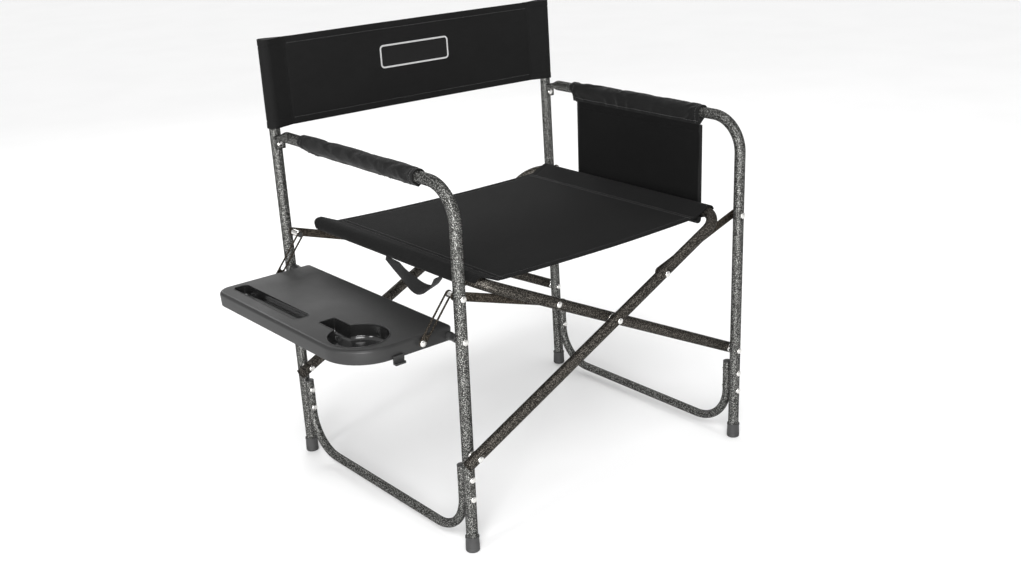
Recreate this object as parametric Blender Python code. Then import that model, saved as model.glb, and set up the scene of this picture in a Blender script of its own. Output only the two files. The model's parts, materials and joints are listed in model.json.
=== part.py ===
"""Folding camp chair with a fold-up side table, a padded arm on each side and a storage pouch.

Two side frames stand left and right, at -X and +X. Two U-shaped tubes cross between them like
scissors and carry the seat on their tops. The chair faces -Y, and its right side frame stands one
stagger further forward, so that the crossed frames pass each other.
Metres, +Z up. The origin is on the floor in the middle plane, level with the left front leg.
"""

import math

import bmesh
import bpy
from mathutils import Matrix, Vector

# Driving dimensions
HALF_WIDTH = 0.315  # from the middle plane to each side frame
DEPTH = 0.512  # front leg to rear post of one side frame, at the low pivots
STAGGER = 0.024  # how much further forward the right side frame stands
LEAN = 0.034  # backward lean of a rear post, per unit of height
PIVOT_Z = 0.182  # low pivots of the crossed frames on the legs
CROSS_Z = 0.332  # where the crossed frames meet
LINK_Z = 0.450  # high pivots, for the links
RAIL_X = 0.268  # seat rails, from the middle plane
ARM_Z = 0.628  # axis of the armrest tubes
POST_TOP = 0.795
FOLDED_HALF = 0.052  # half width when folded, which places the link pivots

TUBE_R = 0.010
TUBE_WALL = 0.0015
LOOP_R = 0.008
LOOP_WALL = 0.0012
GAP = 0.0003  # between pieces that rest on each other
SIDES = 12
RIVET_SIDES = 8

RIVET_R = 0.003
HOLE_R = 0.0035
HEAD_R = 0.0056
HEAD_H = 0.0026
TAIL_H = 0.0018
SPACER_R = 0.0075
LINK_T = 0.003
LINK_HALF = 0.0075

BEND_ARM = 0.062
BEND_RAIL = 0.045
BEND_LOOP = 0.075
BEND_STEPS = 5

TAB_T = 0.003  # flat end of an armrest tube
TAB_GAP = 0.0012  # from it to the post

FOOT_R = 0.012
FOOT_H = 0.028
TUBE_FOOT_Z = 0.0034  # lower end of a leg's tube, inside its foot
POST_FOOT_Z = 0.030  # below this a rear post stands upright in its foot
LOOP_Z = 0.018
LOOP_TOP = 0.1515
LOOP_RIVETS = (0.099, 0.135)
ARM_RIVET_Z = 0.612

TABLE_Z = 0.393
TABLE_H = 0.025
TABLE_INNER = -0.306
TABLE_OUTER = -0.500
TABLE_FRONT = 0.034
TABLE_REAR = 0.466
TABLE_WALL = 0.003
HINGE_Z = 0.378
STAY_PIN = (-0.370, 0.382)
CUP = (-0.438, 0.1045)
CUP_R = 0.0495
SLOT_X = -0.459
SLOT_HALF = 0.0145
SLOT_CORNER = 0.009
SLOT_Y = (0.236, 0.448)
NOTCH_HALF = 0.0155
NOTCH_REAR = 0.198
MOULD_WALL = 0.0025  # walls of the cup, the notch and the slot
CUP_FILLET = 0.008
CUP_SINK = 0.004  # the cup's floor below the rim
NOTCH_LIFT = 0.002
SLOT_LIFT = 0.004
CLIP_LOW = (-0.424, 0.3600)
CLIP_HIGH = (-0.404, 0.3745)
CLIP_T = 0.008
BOSS_R = 0.007
STAY_HALF = 0.0065
STAY_T = 0.0022
STAY_GAP = 0.005  # from the rim to the stay
STAY_SLOT_START = 0.018  # from the pin to the slot

CLOTH_T = 0.002
PANEL_T = 0.003
PANEL_GAP = 0.0006
BACK_LOW = 0.640
BACK_HIGH = 0.798
SEAT_FRONT = 0.008
SEAT_REAR = 0.448
SEAT_SINK = 0.0055  # seat panel's underside below the rail's axis
SEAT_CORNER = 0.040
PAD_OUT = 0.0138
ARM_PADS = {"left": (0.088, 0.430), "right": (0.066, 0.414)}
STRAP_X = RAIL_X + 0.006
STRAP_HALF = 0.010
STRAP_T = 0.0018
STRAP_DROPS = ((0.246, 0), (0.200, 0.018), (0.162, 0.027), (0.128, 0.020), (0.112, 0))
POUCH_LOW = (HALF_WIDTH - 0.0115, 0.058, 0.420)
POUCH_HIGH = (HALF_WIDTH + 0.016, 0.392, ARM_Z - PAD_OUT - 0.0005)
POUCH_BACK = 0.0025
POUCH_WALL = 0.002
POCKET_TOP = 0.560

# Derived from them
ROUND_FIT = 1 / math.cos(math.pi / SIDES)  # a faceted bore clears a round tube at its flats
SLOPE = (CROSS_Z - PIVOT_Z) / HALF_WIDTH
RAIL_Z = CROSS_Z + SLOPE * RAIL_X
ALONG = Vector((1, 0, SLOPE)).normalized()
CROSS_REACH = math.hypot(HALF_WIDTH, CROSS_Z - PIVOT_Z)
OPEN_RISE = CROSS_Z - PIVOT_Z
FOLDED_RISE = math.sqrt(CROSS_REACH**2 - FOLDED_HALF**2)
LINK_RISE = LINK_Z - PIVOT_Z
LINK_SHARE = LINK_RISE / (2 * (OPEN_RISE + FOLDED_RISE) - LINK_RISE)
LINK_X = HALF_WIDTH * LINK_SHARE
LINK_END_Z = CROSS_Z + SLOPE * LINK_X
FRAME_TAIL = 0.022  # a crossed frame's tube past its low pivot
LOOP_STEP = TUBE_R + LOOP_R + 0.0006  # loop's end beside a leg
SLEEVE_IN = (TUBE_R + 0.0004) * ROUND_FIT
SLEEVE_OUT = SLEEVE_IN + CLOTH_T
DRILL_REACH = 0.016

LEFT = (-HALF_WIDTH, 0.0)
RIGHT = (HALF_WIDTH, -STAGGER)

COATED = ("hammered_coat", (0.17, 0.17, 0.16), 0.45, 0.6)
BRONZE = ("dark_coat", (0.13, 0.12, 0.11), 0.45, 0.6)
NICKEL = ("nickel", (0.75, 0.74, 0.72), 0.2, 1.0)
RUBBER = ("dark_rubber", (0.05, 0.05, 0.05), 0.8, 0.0)
PLASTIC = ("grey_plastic", (0.055, 0.055, 0.055), 0.5, 0.0)
CLOTH = ("black_cloth", (0.02, 0.02, 0.021), 0.85, 0.0)
WEBBING = ("webbing", (0.03, 0.03, 0.031), 0.9, 0.0)


def clear_scene():
    for thing in list(bpy.data.objects):
        bpy.data.objects.remove(thing, do_unlink=True)


def material(look, name):
    label, colour, roughness, metallic = look
    made = bpy.data.materials.new(f"{name}_{label}")
    made.use_nodes = True
    shader = made.node_tree.nodes["Principled BSDF"]
    shader.inputs["Base Color"].default_value = (*colour, 1)
    shader.inputs["Roughness"].default_value = roughness
    shader.inputs["Metallic"].default_value = metallic
    made.diffuse_color = (*colour, 1)
    return made


def finish(name, shape, look, smooth=True):
    """Turn a bmesh into a named object with its own material."""
    bmesh.ops.recalc_face_normals(shape, faces=shape.faces[:])
    if shape.calc_volume(signed=True) < 0:
        bmesh.ops.reverse_faces(shape, faces=shape.faces[:])
    mesh = bpy.data.meshes.new(name)
    shape.to_mesh(mesh)
    shape.free()
    thing = bpy.data.objects.new(name, mesh)
    bpy.context.scene.collection.objects.link(thing)
    if look:
        mesh.materials.append(material(look, name))
    if smooth:
        mesh.shade_smooth()
        mesh.set_sharp_from_angle(angle=math.radians(35))
    return thing


def ring(shape, centre, across, up, radius, sides):
    """A circle of vertices around a centre."""
    turn = 2 * math.pi / sides
    spots = [centre + radius * (math.cos(i * turn) * across + math.sin(i * turn) * up) for i in range(sides)]
    return [shape.verts.new(spot) for spot in spots]


def bridge(shape, first, second):
    count = len(first)
    for i in range(count):
        j = (i + 1) % count
        shape.faces.new((first[i], first[j], second[j], second[i]))


def round_corners(points, radius, steps=BEND_STEPS):
    """A path with each inner corner replaced by an arc."""
    path = [Vector(points[0])]
    for before, corner, after in zip(points, points[1:], points[2:]):
        corner = Vector(corner)
        back = (Vector(before) - corner).normalized()
        ahead = (Vector(after) - corner).normalized()
        half = back.angle(ahead) / 2
        centre = corner + (back + ahead).normalized() * radius / math.sin(half)
        start = corner + back * radius / math.tan(half) - centre
        end = corner + ahead * radius / math.tan(half) - centre
        sweep = start.angle(end)
        for i in range(steps + 1):
            share = i / steps
            mixed = start * math.sin((1 - share) * sweep) + end * math.sin(share * sweep)
            path.append(centre + mixed / math.sin(sweep))
    path.append(Vector(points[-1]))
    return path


def tube(name, path, radius, wall, normal, look):
    """A hollow tube, open at both ends, along a path that lies in the plane with this normal."""
    shape = bmesh.new()
    normal = Vector(normal).normalized()
    outer, inner = [], []
    for i, spot in enumerate(path):
        into = (spot - path[i - 1]).normalized() if i else None
        out = (path[i + 1] - spot).normalized() if i + 1 < len(path) else into
        into = into or out
        tangent = (into + out).normalized()
        stretch = 1 / math.cos(into.angle(out) / 2) if into.angle(out) > 1e-6 else 1.0
        across = tangent.cross(normal) * stretch
        outer.append(ring(shape, spot, across, normal, radius, SIDES))
        inner.append(ring(shape, spot, across, normal, radius - wall, SIDES))
    for rings in (outer, inner):
        for first, second in zip(rings, rings[1:]):
            bridge(shape, first, second)
    bridge(shape, outer[0], inner[0])
    bridge(shape, outer[-1], inner[-1])
    return finish(name, shape, look)


def turned(name, profile, base, axis, look, sides=SIDES, ring_shaped=False):
    """A turned piece. The profile lists (distance along the axis, radius); a ring's profile closes on itself."""
    shape = bmesh.new()
    axis = Vector(axis).normalized()
    across = axis.orthogonal().normalized()
    up = axis.cross(across)
    rows = []
    for along, radius in profile:
        centre = Vector(base) + axis * along
        if radius == 0:
            rows.append([shape.verts.new(centre)])
        else:
            rows.append(ring(shape, centre, across, up, radius, sides))
    pairs = list(zip(rows, rows[1:]))
    if ring_shaped:
        pairs.append((rows[-1], rows[0]))
    for first, second in pairs:
        if len(first) == 1 and len(second) == 1:
            continue
        if len(first) == 1 or len(second) == 1:
            tip, rim = (first[0], second) if len(first) == 1 else (second[0], first)
            for i in range(sides):
                shape.faces.new((tip, rim[i], rim[(i + 1) % sides]))
        else:
            bridge(shape, first, second)
    return finish(name, shape, look)


def prism(name, outline, place, low, high, look, smooth=True):
    """An outline of (u, v) points pulled from low to high; place turns (u, v, w) into a position."""
    shape = bmesh.new()
    bottom = [shape.verts.new(place(u, v, low)) for u, v in outline]
    top = [shape.verts.new(place(u, v, high)) for u, v in outline]
    shape.faces.new(bottom)
    shape.faces.new(top)
    bridge(shape, bottom, top)
    return finish(name, shape, look, smooth)


def box(name, low, high, look):
    corners = ((low[0], low[1]), (high[0], low[1]), (high[0], high[1]), (low[0], high[1]))
    return prism(name, corners, upright, low[2], high[2], look, smooth=False)


def upright(u, v, w):
    return Vector((u, v, w))


def facing_front(u, v, w):
    return Vector((u, w, v))


def arc(centre, radius, start, end, steps):
    """Points of an arc, angles in degrees."""
    angles = [math.radians(start + (end - start) * i / steps) for i in range(steps + 1)]
    return [(centre[0] + radius * math.cos(a), centre[1] + radius * math.sin(a)) for a in angles]


def stadium(first, second, radius, steps=6):
    """Outline of a bar with round ends."""
    heading = math.degrees(math.atan2(second[1] - first[1], second[0] - first[0]))
    far_end = arc(second, radius, heading - 90, heading + 90, steps)
    return far_end + arc(first, radius, heading + 90, heading + 270, steps)


def use_boolean(thing, other, operation):
    step = thing.modifiers.new(operation.lower(), "BOOLEAN")
    step.operation = operation
    step.object = other
    step.solver = "EXACT"
    other.hide_render = True
    other.display_type = "WIRE"


def cut(thing, cutter):
    use_boolean(thing, cutter, "DIFFERENCE")


def join(thing, other):
    use_boolean(thing, other, "UNION")


def drill(thing, spots, reach=DRILL_REACH):
    """Rivet holes along Y, each through one wall or one tube."""
    profile = ((-reach, 0), (-reach, HOLE_R), (reach, HOLE_R), (reach, 0))
    for spot in spots:
        name = f"cut_{thing.name}_{len(thing.modifiers)}"
        cut(thing, turned(name, profile, spot, (0, 1, 0), None, RIVET_SIDES))


def rivet_profile(head, tail, spacers=(), flush=False):
    """A domed rivet: head and tail are where its two shoulders sit, and spacers are collars on it."""
    profile = [(head - HEAD_H, 0), (head - HEAD_H * 0.86, HEAD_R * 0.5), (head - HEAD_H * 0.45, HEAD_R * 0.88)]
    profile += [(head, HEAD_R), (head, RIVET_R)]
    for start, end, radius in spacers:
        profile += [(start, RIVET_R), (start, radius), (end, radius), (end, RIVET_R)]
    if flush:
        return profile + [(tail, RIVET_R), (tail, 0)]
    profile += [(tail, RIVET_R), (tail, HEAD_R * 0.9), (tail + TAIL_H * 0.6, HEAD_R * 0.7)]
    return profile + [(tail + TAIL_H, 0)]


def rivet(name, x, z, head, tail, spacers=(), flush=False, backwards=False):
    """A rivet along Y. A backwards one has its head at the rear."""
    if backwards:
        mirrored = [(-end, -start, radius) for start, end, radius in reversed(spacers)]
        profile = rivet_profile(-head, -tail, mirrored, flush)
        return turned(name, profile, (x, 0, z), (0, -1, 0), NICKEL, RIVET_SIDES)
    return turned(name, rivet_profile(head, tail, spacers, flush), (x, 0, z), (0, 1, 0), NICKEL, RIVET_SIDES)


def post_y(z):
    """Axis of a left rear post at this height."""
    return DEPTH + LEAN * (z - PIVOT_Z)


POST_FOOT_Y = post_y(POST_FOOT_Z)
HOLE_HEIGHTS = (PIVOT_Z, LINK_Z, *LOOP_RIVETS)


def leg_and_arm(side, x, y):
    """Front leg and armrest, one bent tube with a flat tab riveted to the post."""
    end = post_y(ARM_Z) - TUBE_R - TAB_GAP
    corners = [(x, y, TUBE_FOOT_Z), (x, y, ARM_Z), (x, y + end, ARM_Z)]
    thing = tube(f"{side}_leg_arm", round_corners(corners, BEND_ARM), TUBE_R, TUBE_WALL, (1, 0, 0), COATED)
    tab = stadium((x, ARM_RIVET_Z), (x, ARM_Z), TUBE_R * 0.9, 5)
    join(thing, prism(f"{side}_arm_tab_form", tab, facing_front, y + end - TAB_T, y + end, None))
    heights = HOLE_HEIGHTS + ((HINGE_Z,) if side == "left" else ())
    drill(thing, [(x, y, z) for z in heights])
    drill(thing, [(x, y + end, ARM_RIVET_Z)], reach=TAB_T * 1.5)
    return thing


def rear_post(side, x, y):
    heights = (TUBE_FOOT_Z, POST_FOOT_Z, POST_TOP)
    path = [Vector((x, y + max(post_y(z), POST_FOOT_Y), z)) for z in heights]
    thing = tube(f"{side}_post", path, TUBE_R, TUBE_WALL, (1, 0, 0), COATED)
    heights = HOLE_HEIGHTS + (ARM_RIVET_Z,) + ((HINGE_Z,) if side == "left" else ())
    drill(thing, [(x, y + post_y(z), z) for z in heights])
    return thing


def loop_rear_y(z):
    return post_y(z) - LOOP_STEP


def ground_loop(side, x, y):
    """U-shaped tube near the floor, with the four rivets that hold its ends to the leg and the post."""
    corners = [
        (x, y + LOOP_STEP, LOOP_TOP),
        (x, y + LOOP_STEP, LOOP_Z),
        (x, y + loop_rear_y(LOOP_Z), LOOP_Z),
        (x, y + loop_rear_y(LOOP_TOP), LOOP_TOP),
    ]
    path = round_corners(corners, BEND_LOOP)
    thing = tube(f"{side}_ground_loop", path, LOOP_R, LOOP_WALL, (1, 0, 0), COATED)
    far_side = LOOP_STEP + LOOP_R - 0.0004
    front = rivet_profile(-TUBE_R - GAP, far_side)
    rear = rivet_profile(-far_side, TUBE_R + GAP)
    for i, z in enumerate(LOOP_RIVETS):
        for end, profile, middle in (("front", front, y), ("rear", rear, y + post_y(z))):
            name = f"{side}_loop_rivet_{end}_{i}"
            join(thing, turned(name, profile, (x, middle, z), (0, 1, 0), None, RIVET_SIDES))
    return thing


def loop_plug(name, x, y, lean):
    """Plastic plug in an open end of a ground loop."""
    stem = LOOP_R - LOOP_WALL - 0.0005
    profile = ((-0.010, 0), (-0.010, stem), (GAP, stem), (GAP, LOOP_R), (0.0022, LOOP_R * 0.94), (0.0028, 0))
    return turned(name, profile, (x, y, LOOP_TOP), (0, lean, 1), RUBBER, 12)


def foot(name, x, y):
    """Rubber cup on the end of a leg."""
    bore = (TUBE_R + GAP) * ROUND_FIT
    profile = [(0, 0), (0, FOOT_R - 0.0015), (0.0015, FOOT_R), (FOOT_H, FOOT_R - 0.0006), (FOOT_H, bore)]
    profile += [(0.003, bore), (0.003, 0)]
    return turned(name, profile, (x, y, 0), (0, 0, 1), RUBBER)


def sleeve(name, start, end, inner, outer, look):
    """Cloth tube around a straight stretch of tube."""
    axis = Vector(end) - Vector(start)
    profile = ((0, inner), (0, outer), (axis.length, outer), (axis.length, inner))
    return turned(name, profile, start, axis, look, SIDES, ring_shaped=True)


def back_sleeve(side, x, y):
    """Sleeve of the backrest over a post, closed at the top."""
    base = Vector((x, y + post_y(BACK_LOW), BACK_LOW))
    axis = Vector((0, LEAN, 1))
    length = (BACK_HIGH - BACK_LOW) * axis.length
    inside = length - CLOTH_T
    profile = [(0, SLEEVE_OUT), (inside, SLEEVE_OUT), (length, SLEEVE_OUT - CLOTH_T), (length, 0)]
    profile += [(inside, 0), (inside, SLEEVE_IN), (0, SLEEVE_IN)]
    return turned(f"{side}_back_sleeve", profile, base, axis, CLOTH, ring_shaped=True)


def side_frame(side, x, y):
    """Everything of one side frame that both sides share."""
    rear_head = y + post_y(ARM_Z) - TUBE_R - TAB_GAP - TAB_T - GAP
    rear_tail = y + post_y(ARM_RIVET_Z) + TUBE_R + GAP
    low, high = ARM_PADS[side]
    return [
        leg_and_arm(side, x, y),
        rear_post(side, x, y),
        ground_loop(side, x, y),
        foot(f"{side}_front_foot", x, y),
        foot(f"{side}_rear_foot", x, y + POST_FOOT_Y),
        loop_plug(f"{side}_front_plug", x, y + LOOP_STEP, 0),
        loop_plug(f"{side}_rear_plug", x, y + loop_rear_y(LOOP_TOP), LEAN),
        rivet(f"{side}_arm_rivet", x, ARM_RIVET_Z, rear_head, rear_tail),
        sleeve(f"{side}_arm_pad", (x, low, ARM_Z), (x, high, ARM_Z), SLEEVE_IN, PAD_OUT, CLOTH),
        back_sleeve(side, x, y),
    ]


def crossed_frame(name, hand, y):
    """U-shaped tube: up a slope from the low pivot, back along the seat rail and down again."""
    foot_x = -hand * (HALF_WIDTH + FRAME_TAIL * ALONG.x)
    foot_z = PIVOT_Z - FRAME_TAIL * ALONG.z
    rail_x = hand * RAIL_X
    corners = [
        (foot_x, y, foot_z),
        (rail_x, y, RAIL_Z),
        (rail_x, y + DEPTH, RAIL_Z),
        (foot_x, y + DEPTH, foot_z),
    ]
    normal = Vector((-SLOPE * hand, 0, 1))
    thing = tube(name, round_corners(corners, BEND_RAIL), TUBE_R, TUBE_WALL, normal, COATED)
    holes = ((-hand * HALF_WIDTH, PIVOT_Z), (0, CROSS_Z), (hand * LINK_X, LINK_END_Z))
    drill(thing, [(x, y + end, z) for end in (0, DEPTH) for x, z in holes])
    return thing


def link(name, hand, low, dome_at):
    """Flat bar from a high pivot to a crossed frame, with its rivet's dome on the outer face."""
    top = (hand * HALF_WIDTH, LINK_Z)
    end = (hand * LINK_X, LINK_END_Z)
    bar = prism(name, stadium(top, end, LINK_HALF), facing_front, low, low + LINK_T, BRONZE)
    drill(bar, [(top[0], low, top[1])])
    outward = 1 if dome_at > low else -1
    dome = ((-0.001, 0), (-0.001, HEAD_R), (0, HEAD_R), (HEAD_H * 0.5, HEAD_R * 0.8), (HEAD_H, 0))
    join(bar, turned(f"{name}_dome_form", dome, (end[0], dome_at, end[1]), (0, outward, 0), None, RIVET_SIDES))
    return bar


def seat_panel(name, hand):
    """Half of the seat, from beside its rail to the middle. The left one is cut back at its front corner."""
    edge = RAIL_X - SLEEVE_OUT - PANEL_GAP
    low_z = RAIL_Z - SEAT_SINK
    outline = [(GAP, SEAT_FRONT), (edge, SEAT_FRONT), (edge, SEAT_REAR), (GAP, SEAT_REAR)]
    if hand < 0:
        outline[1:2] = [(edge - SEAT_CORNER, SEAT_FRONT), (edge, SEAT_FRONT + SEAT_CORNER)]
    mirrored = [(hand * u, v) for u, v in outline]
    return prism(name, mirrored, upright, low_z, low_z + PANEL_T, CLOTH, smooth=False)


def back_panel(side, hand):
    """Half of the backrest, from beside its post to the middle."""
    shape = bmesh.new()
    near = HALF_WIDTH - SLEEVE_OUT - PANEL_GAP
    columns = []
    for x in (hand * near, hand * GAP):
        for z in (BACK_LOW, BACK_HIGH - 2 * CLOTH_T):
            y = post_y(z) - STAGGER * (x + HALF_WIDTH) / (2 * HALF_WIDTH)
            columns.append([shape.verts.new((x, y + t, z)) for t in (-PANEL_T / 2, PANEL_T / 2)])
    low_near, high_near, low_mid, high_mid = columns
    for a, b in ((low_near, low_mid), (low_mid, high_mid), (high_mid, high_near), (high_near, low_near)):
        shape.faces.new((a[0], b[0], b[1], a[1]))
    for k in (0, 1):
        shape.faces.new((low_near[k], low_mid[k], high_mid[k], high_near[k]))
    return finish(f"{side}_back_panel", shape, CLOTH, smooth=False)


def carry_strap(side, hand):
    """Webbing loop that hangs under a seat rail."""
    rail_low = RAIL_Z - SLEEVE_OUT - PANEL_GAP
    path = [Vector((y, rail_low - drop)) for y, drop in STRAP_DROPS]
    shape = bmesh.new()
    rows = []
    for i, spot in enumerate(path):
        heading = (path[min(i + 1, len(path) - 1)] - path[max(i - 1, 0)]).normalized()
        away = Vector((-heading.y, heading.x)) * STRAP_HALF
        if i in (0, len(path) - 1):
            away = Vector((-1.2 * STRAP_HALF, 0))  # the ends lie level under the rail
        rows.append([spot - away, spot + away])
    x = hand * STRAP_X
    thin = STRAP_T / 2
    corners = [[shape.verts.new((x + t, *spot)) for spot in row for t in (-thin, thin)] for row in rows]
    for first, second in zip(corners, corners[1:]):
        for a, b in ((0, 1), (1, 3), (3, 2), (2, 0)):
            shape.faces.new((first[a], first[b], second[b], second[a]))
    for end in (corners[0], corners[-1]):
        shape.faces.new((end[0], end[1], end[3], end[2]))
    return finish(f"{side}_carry_strap", shape, WEBBING, smooth=False)


def pouch():
    """Flat bag under the right armrest: a back panel and a pocket that is open at the top."""
    low, high = POUCH_LOW, POUCH_HIGH
    bag = box("storage_pouch", low, high, CLOTH)
    back = low[0] + POUCH_BACK
    cut(bag, box("cut_pouch_front", (back, 0, POCKET_TOP), (high[0] + 0.01, DEPTH, high[2] + 0.01), None))
    inside_low = (back, low[1] + POUCH_WALL, low[2] + POUCH_WALL)
    inside_high = (high[0] - POUCH_WALL, high[1] - POUCH_WALL, POCKET_TOP + 0.01)
    cut(bag, box("cut_pouch_inside", inside_low, inside_high, None))
    return bag


def table_outline(inset):
    """Table edge seen from above: a wide curve at the outer front corner, smaller ones elsewhere."""
    left, right = TABLE_OUTER + inset, TABLE_INNER - inset
    front, rear = TABLE_FRONT + inset, TABLE_REAR - inset
    wide, middle, small = 0.075 - inset, 0.028 - inset, 0.008 - inset
    points = arc((left + wide, front + wide), wide, 180, 270, 8)
    points += arc((right - small, front + small), small, 270, 360, 3)
    points += arc((right - small, rear - small), small, 0, 90, 3)
    return points + arc((left + middle, rear - middle), middle, 90, 180, 5)


def slot_outline(spread):
    """The slot seen from above, grown by spread: a long opening with rounded corners."""
    left, right = SLOT_X - SLOT_HALF - spread, SLOT_X + SLOT_HALF + spread
    front, rear = SLOT_Y[0] - spread, SLOT_Y[1] + spread
    curve = SLOT_CORNER + spread
    points = arc((left + curve, front + curve), curve, 180, 270, 4)
    points += arc((right - curve, front + curve), curve, 270, 360, 4)
    points += arc((right - curve, rear - curve), curve, 0, 90, 4)
    return points + arc((left + curve, rear - curve), curve, 90, 180, 4)


def table_top():
    """Moulded table: a skin with a rim, a shallow cup with a notch for a handle, and a closed slot."""
    low = TABLE_Z - TABLE_H
    lip = TABLE_Z - 0.001  # the moulded forms end inside the skin
    above = TABLE_Z + 0.01
    top = prism("table_top", table_outline(0), upright, low, TABLE_Z, PLASTIC)
    hollow = prism("cut_table_under", table_outline(TABLE_WALL), upright, low - 0.01, TABLE_Z - TABLE_WALL, None)
    cut(top, hollow)
    floor = low - CUP_SINK
    outer = CUP_R + MOULD_WALL
    cup = ((floor, 0), (floor, outer - CUP_FILLET), (floor + CUP_FILLET, outer), (lip, outer), (lip, 0))
    join(top, turned("cup_form", cup, (*CUP, 0), (0, 0, 1), None, 24))
    notch_low = (CUP[0] - NOTCH_HALF - MOULD_WALL, CUP[1], low + NOTCH_LIFT)
    notch_high = (CUP[0] + NOTCH_HALF + MOULD_WALL, NOTCH_REAR + MOULD_WALL, lip)
    join(top, box("notch_form", notch_low, notch_high, None))
    join(top, prism("slot_form", slot_outline(MOULD_WALL), upright, low + SLOT_LIFT, lip, None))
    base = floor + MOULD_WALL
    inside = ((base, 0), (base, CUP_R - CUP_FILLET), (base + CUP_FILLET, CUP_R), (above, CUP_R), (above, 0))
    cut(top, turned("cut_cup", inside, (*CUP, 0), (0, 0, 1), None, 24))
    notch_low = (CUP[0] - NOTCH_HALF, CUP[1], low + NOTCH_LIFT + MOULD_WALL)
    cut(top, box("cut_notch", notch_low, (CUP[0] + NOTCH_HALF, NOTCH_REAR, above), None))
    slot_floor = low + SLOT_LIFT + MOULD_WALL
    cut(top, prism("cut_slot", slot_outline(0), upright, slot_floor, above, None))
    return top


def hinge_boss(name, low, high):
    """Moulded ear around a hinge rivet, between the table and the leg."""
    profile = ((low, HOLE_R), (low, BOSS_R), (high, BOSS_R), (high, HOLE_R))
    return turned(name, profile, (-HALF_WIDTH, 0, HINGE_Z), (0, 1, 0), PLASTIC, ring_shaped=True)


def stay(name, low):
    """Flat arm that holds the table: a pin hole at the table and a long slot for the leg's pivot."""
    head = (-HALF_WIDTH, LINK_Z)
    bar = prism(name, stadium(STAY_PIN, head, STAY_HALF), facing_front, low, low + STAY_T, BRONZE)
    heading = (Vector(head) - Vector(STAY_PIN)).normalized()
    slot_start = Vector(STAY_PIN) + heading * STAY_SLOT_START
    slot = stadium(slot_start, head, SPACER_R * 0.5)
    cut(bar, prism(f"cut_{name}_slot", slot, facing_front, low - 0.01, low + 0.01, None))
    drill(bar, [(STAY_PIN[0], low, STAY_PIN[1])])
    return bar


def body(name, pivot, things, parent=None):
    """Hang a moving body's objects on an empty that stands on its joint's axis."""
    holder = bpy.data.objects.new(name, None)
    bpy.context.scene.collection.objects.link(holder)
    holder.location = Vector(pivot)
    holder["pivot"] = tuple(pivot)
    if parent:
        holder.location = Vector(pivot) - Vector(parent["pivot"])
        holder.parent = parent
    for thing in things:
        thing.data.transform(Matrix.Translation(-Vector(pivot)))
        thing.parent = holder
    return holder


def left_rivets():
    """Rivets of the left side frame's pivots, front and rear, and the table's hinge rivets."""
    x = -HALF_WIDTH
    front_face, back_face = -TUBE_R - GAP, TUBE_R + GAP
    low_spacer = (-STAGGER + TUBE_R + GAP, -TUBE_R - GAP, SPACER_R)
    rear_low = (DEPTH - STAGGER + TUBE_R + GAP, DEPTH - TUBE_R - 2 * GAP, SPACER_R)
    stay_front = TABLE_FRONT - STAY_GAP - STAY_T
    stay_rear = TABLE_REAR + STAY_GAP + STAY_T
    post_front = post_y(LINK_Z) - TUBE_R - 2 * GAP
    post_back = post_y(LINK_Z) + TUBE_R + GAP
    link_front = DEPTH - TUBE_R - GAP - LINK_T
    link_behind = back_face + LINK_T + 0.0002 + GAP
    hinge_post = post_y(HINGE_Z)
    return [
        rivet("left_low_pivot_front", x, PIVOT_Z, -STAGGER + front_face, back_face, [low_spacer]),
        rivet("left_low_pivot_rear", x, PIVOT_Z, DEPTH - STAGGER + front_face, DEPTH + back_face, [rear_low]),
        rivet("left_high_pivot_front", x, LINK_Z, front_face, stay_front - 0.002, [
            (link_behind, stay_front - 0.002, 0.0055),
        ], flush=True),
        rivet("left_high_pivot_rear", x, LINK_Z, post_back, stay_rear + 0.002, [
            (stay_rear + 0.002, link_front - 2 * GAP, 0.0055),
            (link_front + LINK_T + GAP, post_front, 0.0055),
        ], flush=True, backwards=True),
        rivet("left_hinge_front", x, HINGE_Z, front_face, TABLE_FRONT - 2 * GAP, flush=True),
        rivet("left_hinge_rear", x, HINGE_Z, hinge_post + TUBE_R + GAP, TABLE_REAR + 2 * GAP,
              flush=True, backwards=True),
    ]


def right_rivets():
    """Rivets of the right side frame's pivots, front and rear."""
    x = HALF_WIDTH
    front_face, back_face = -TUBE_R - GAP, TUBE_R + GAP
    low_spacer = (-STAGGER + TUBE_R + GAP, -TUBE_R - GAP, SPACER_R)
    rear_low = (DEPTH - STAGGER + TUBE_R + 2 * GAP, DEPTH - TUBE_R - GAP, SPACER_R)
    link_front = DEPTH - STAGGER - TUBE_R - GAP - LINK_T
    post = post_y(LINK_Z) - STAGGER
    return [
        rivet("right_low_pivot_front", x, PIVOT_Z, -STAGGER + front_face, back_face, [low_spacer]),
        rivet("right_low_pivot_rear", x, PIVOT_Z, DEPTH - STAGGER + front_face, DEPTH + back_face, [rear_low]),
        rivet("right_high_pivot_front", x, LINK_Z, -STAGGER + front_face, -STAGGER + back_face + LINK_T + GAP),
        rivet("right_high_pivot_rear", x, LINK_Z, link_front - GAP, post + TUBE_R + GAP, [
            (link_front + LINK_T + GAP, post - TUBE_R - 2 * GAP, 0.0055),
        ]),
    ]


def link_rivets(hand, y, name):
    """A crossed frame's own rivets, where its links end."""
    face = TUBE_R + GAP
    reach = TUBE_R + GAP / 3
    x = hand * LINK_X
    rear = y + DEPTH
    return [
        rivet(f"{name}_link_rivet_front", x, LINK_END_Z, y - face, y + reach, flush=True),
        rivet(f"{name}_link_rivet_rear", x, LINK_END_Z, rear + face, rear - reach, flush=True, backwards=True),
    ]


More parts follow.
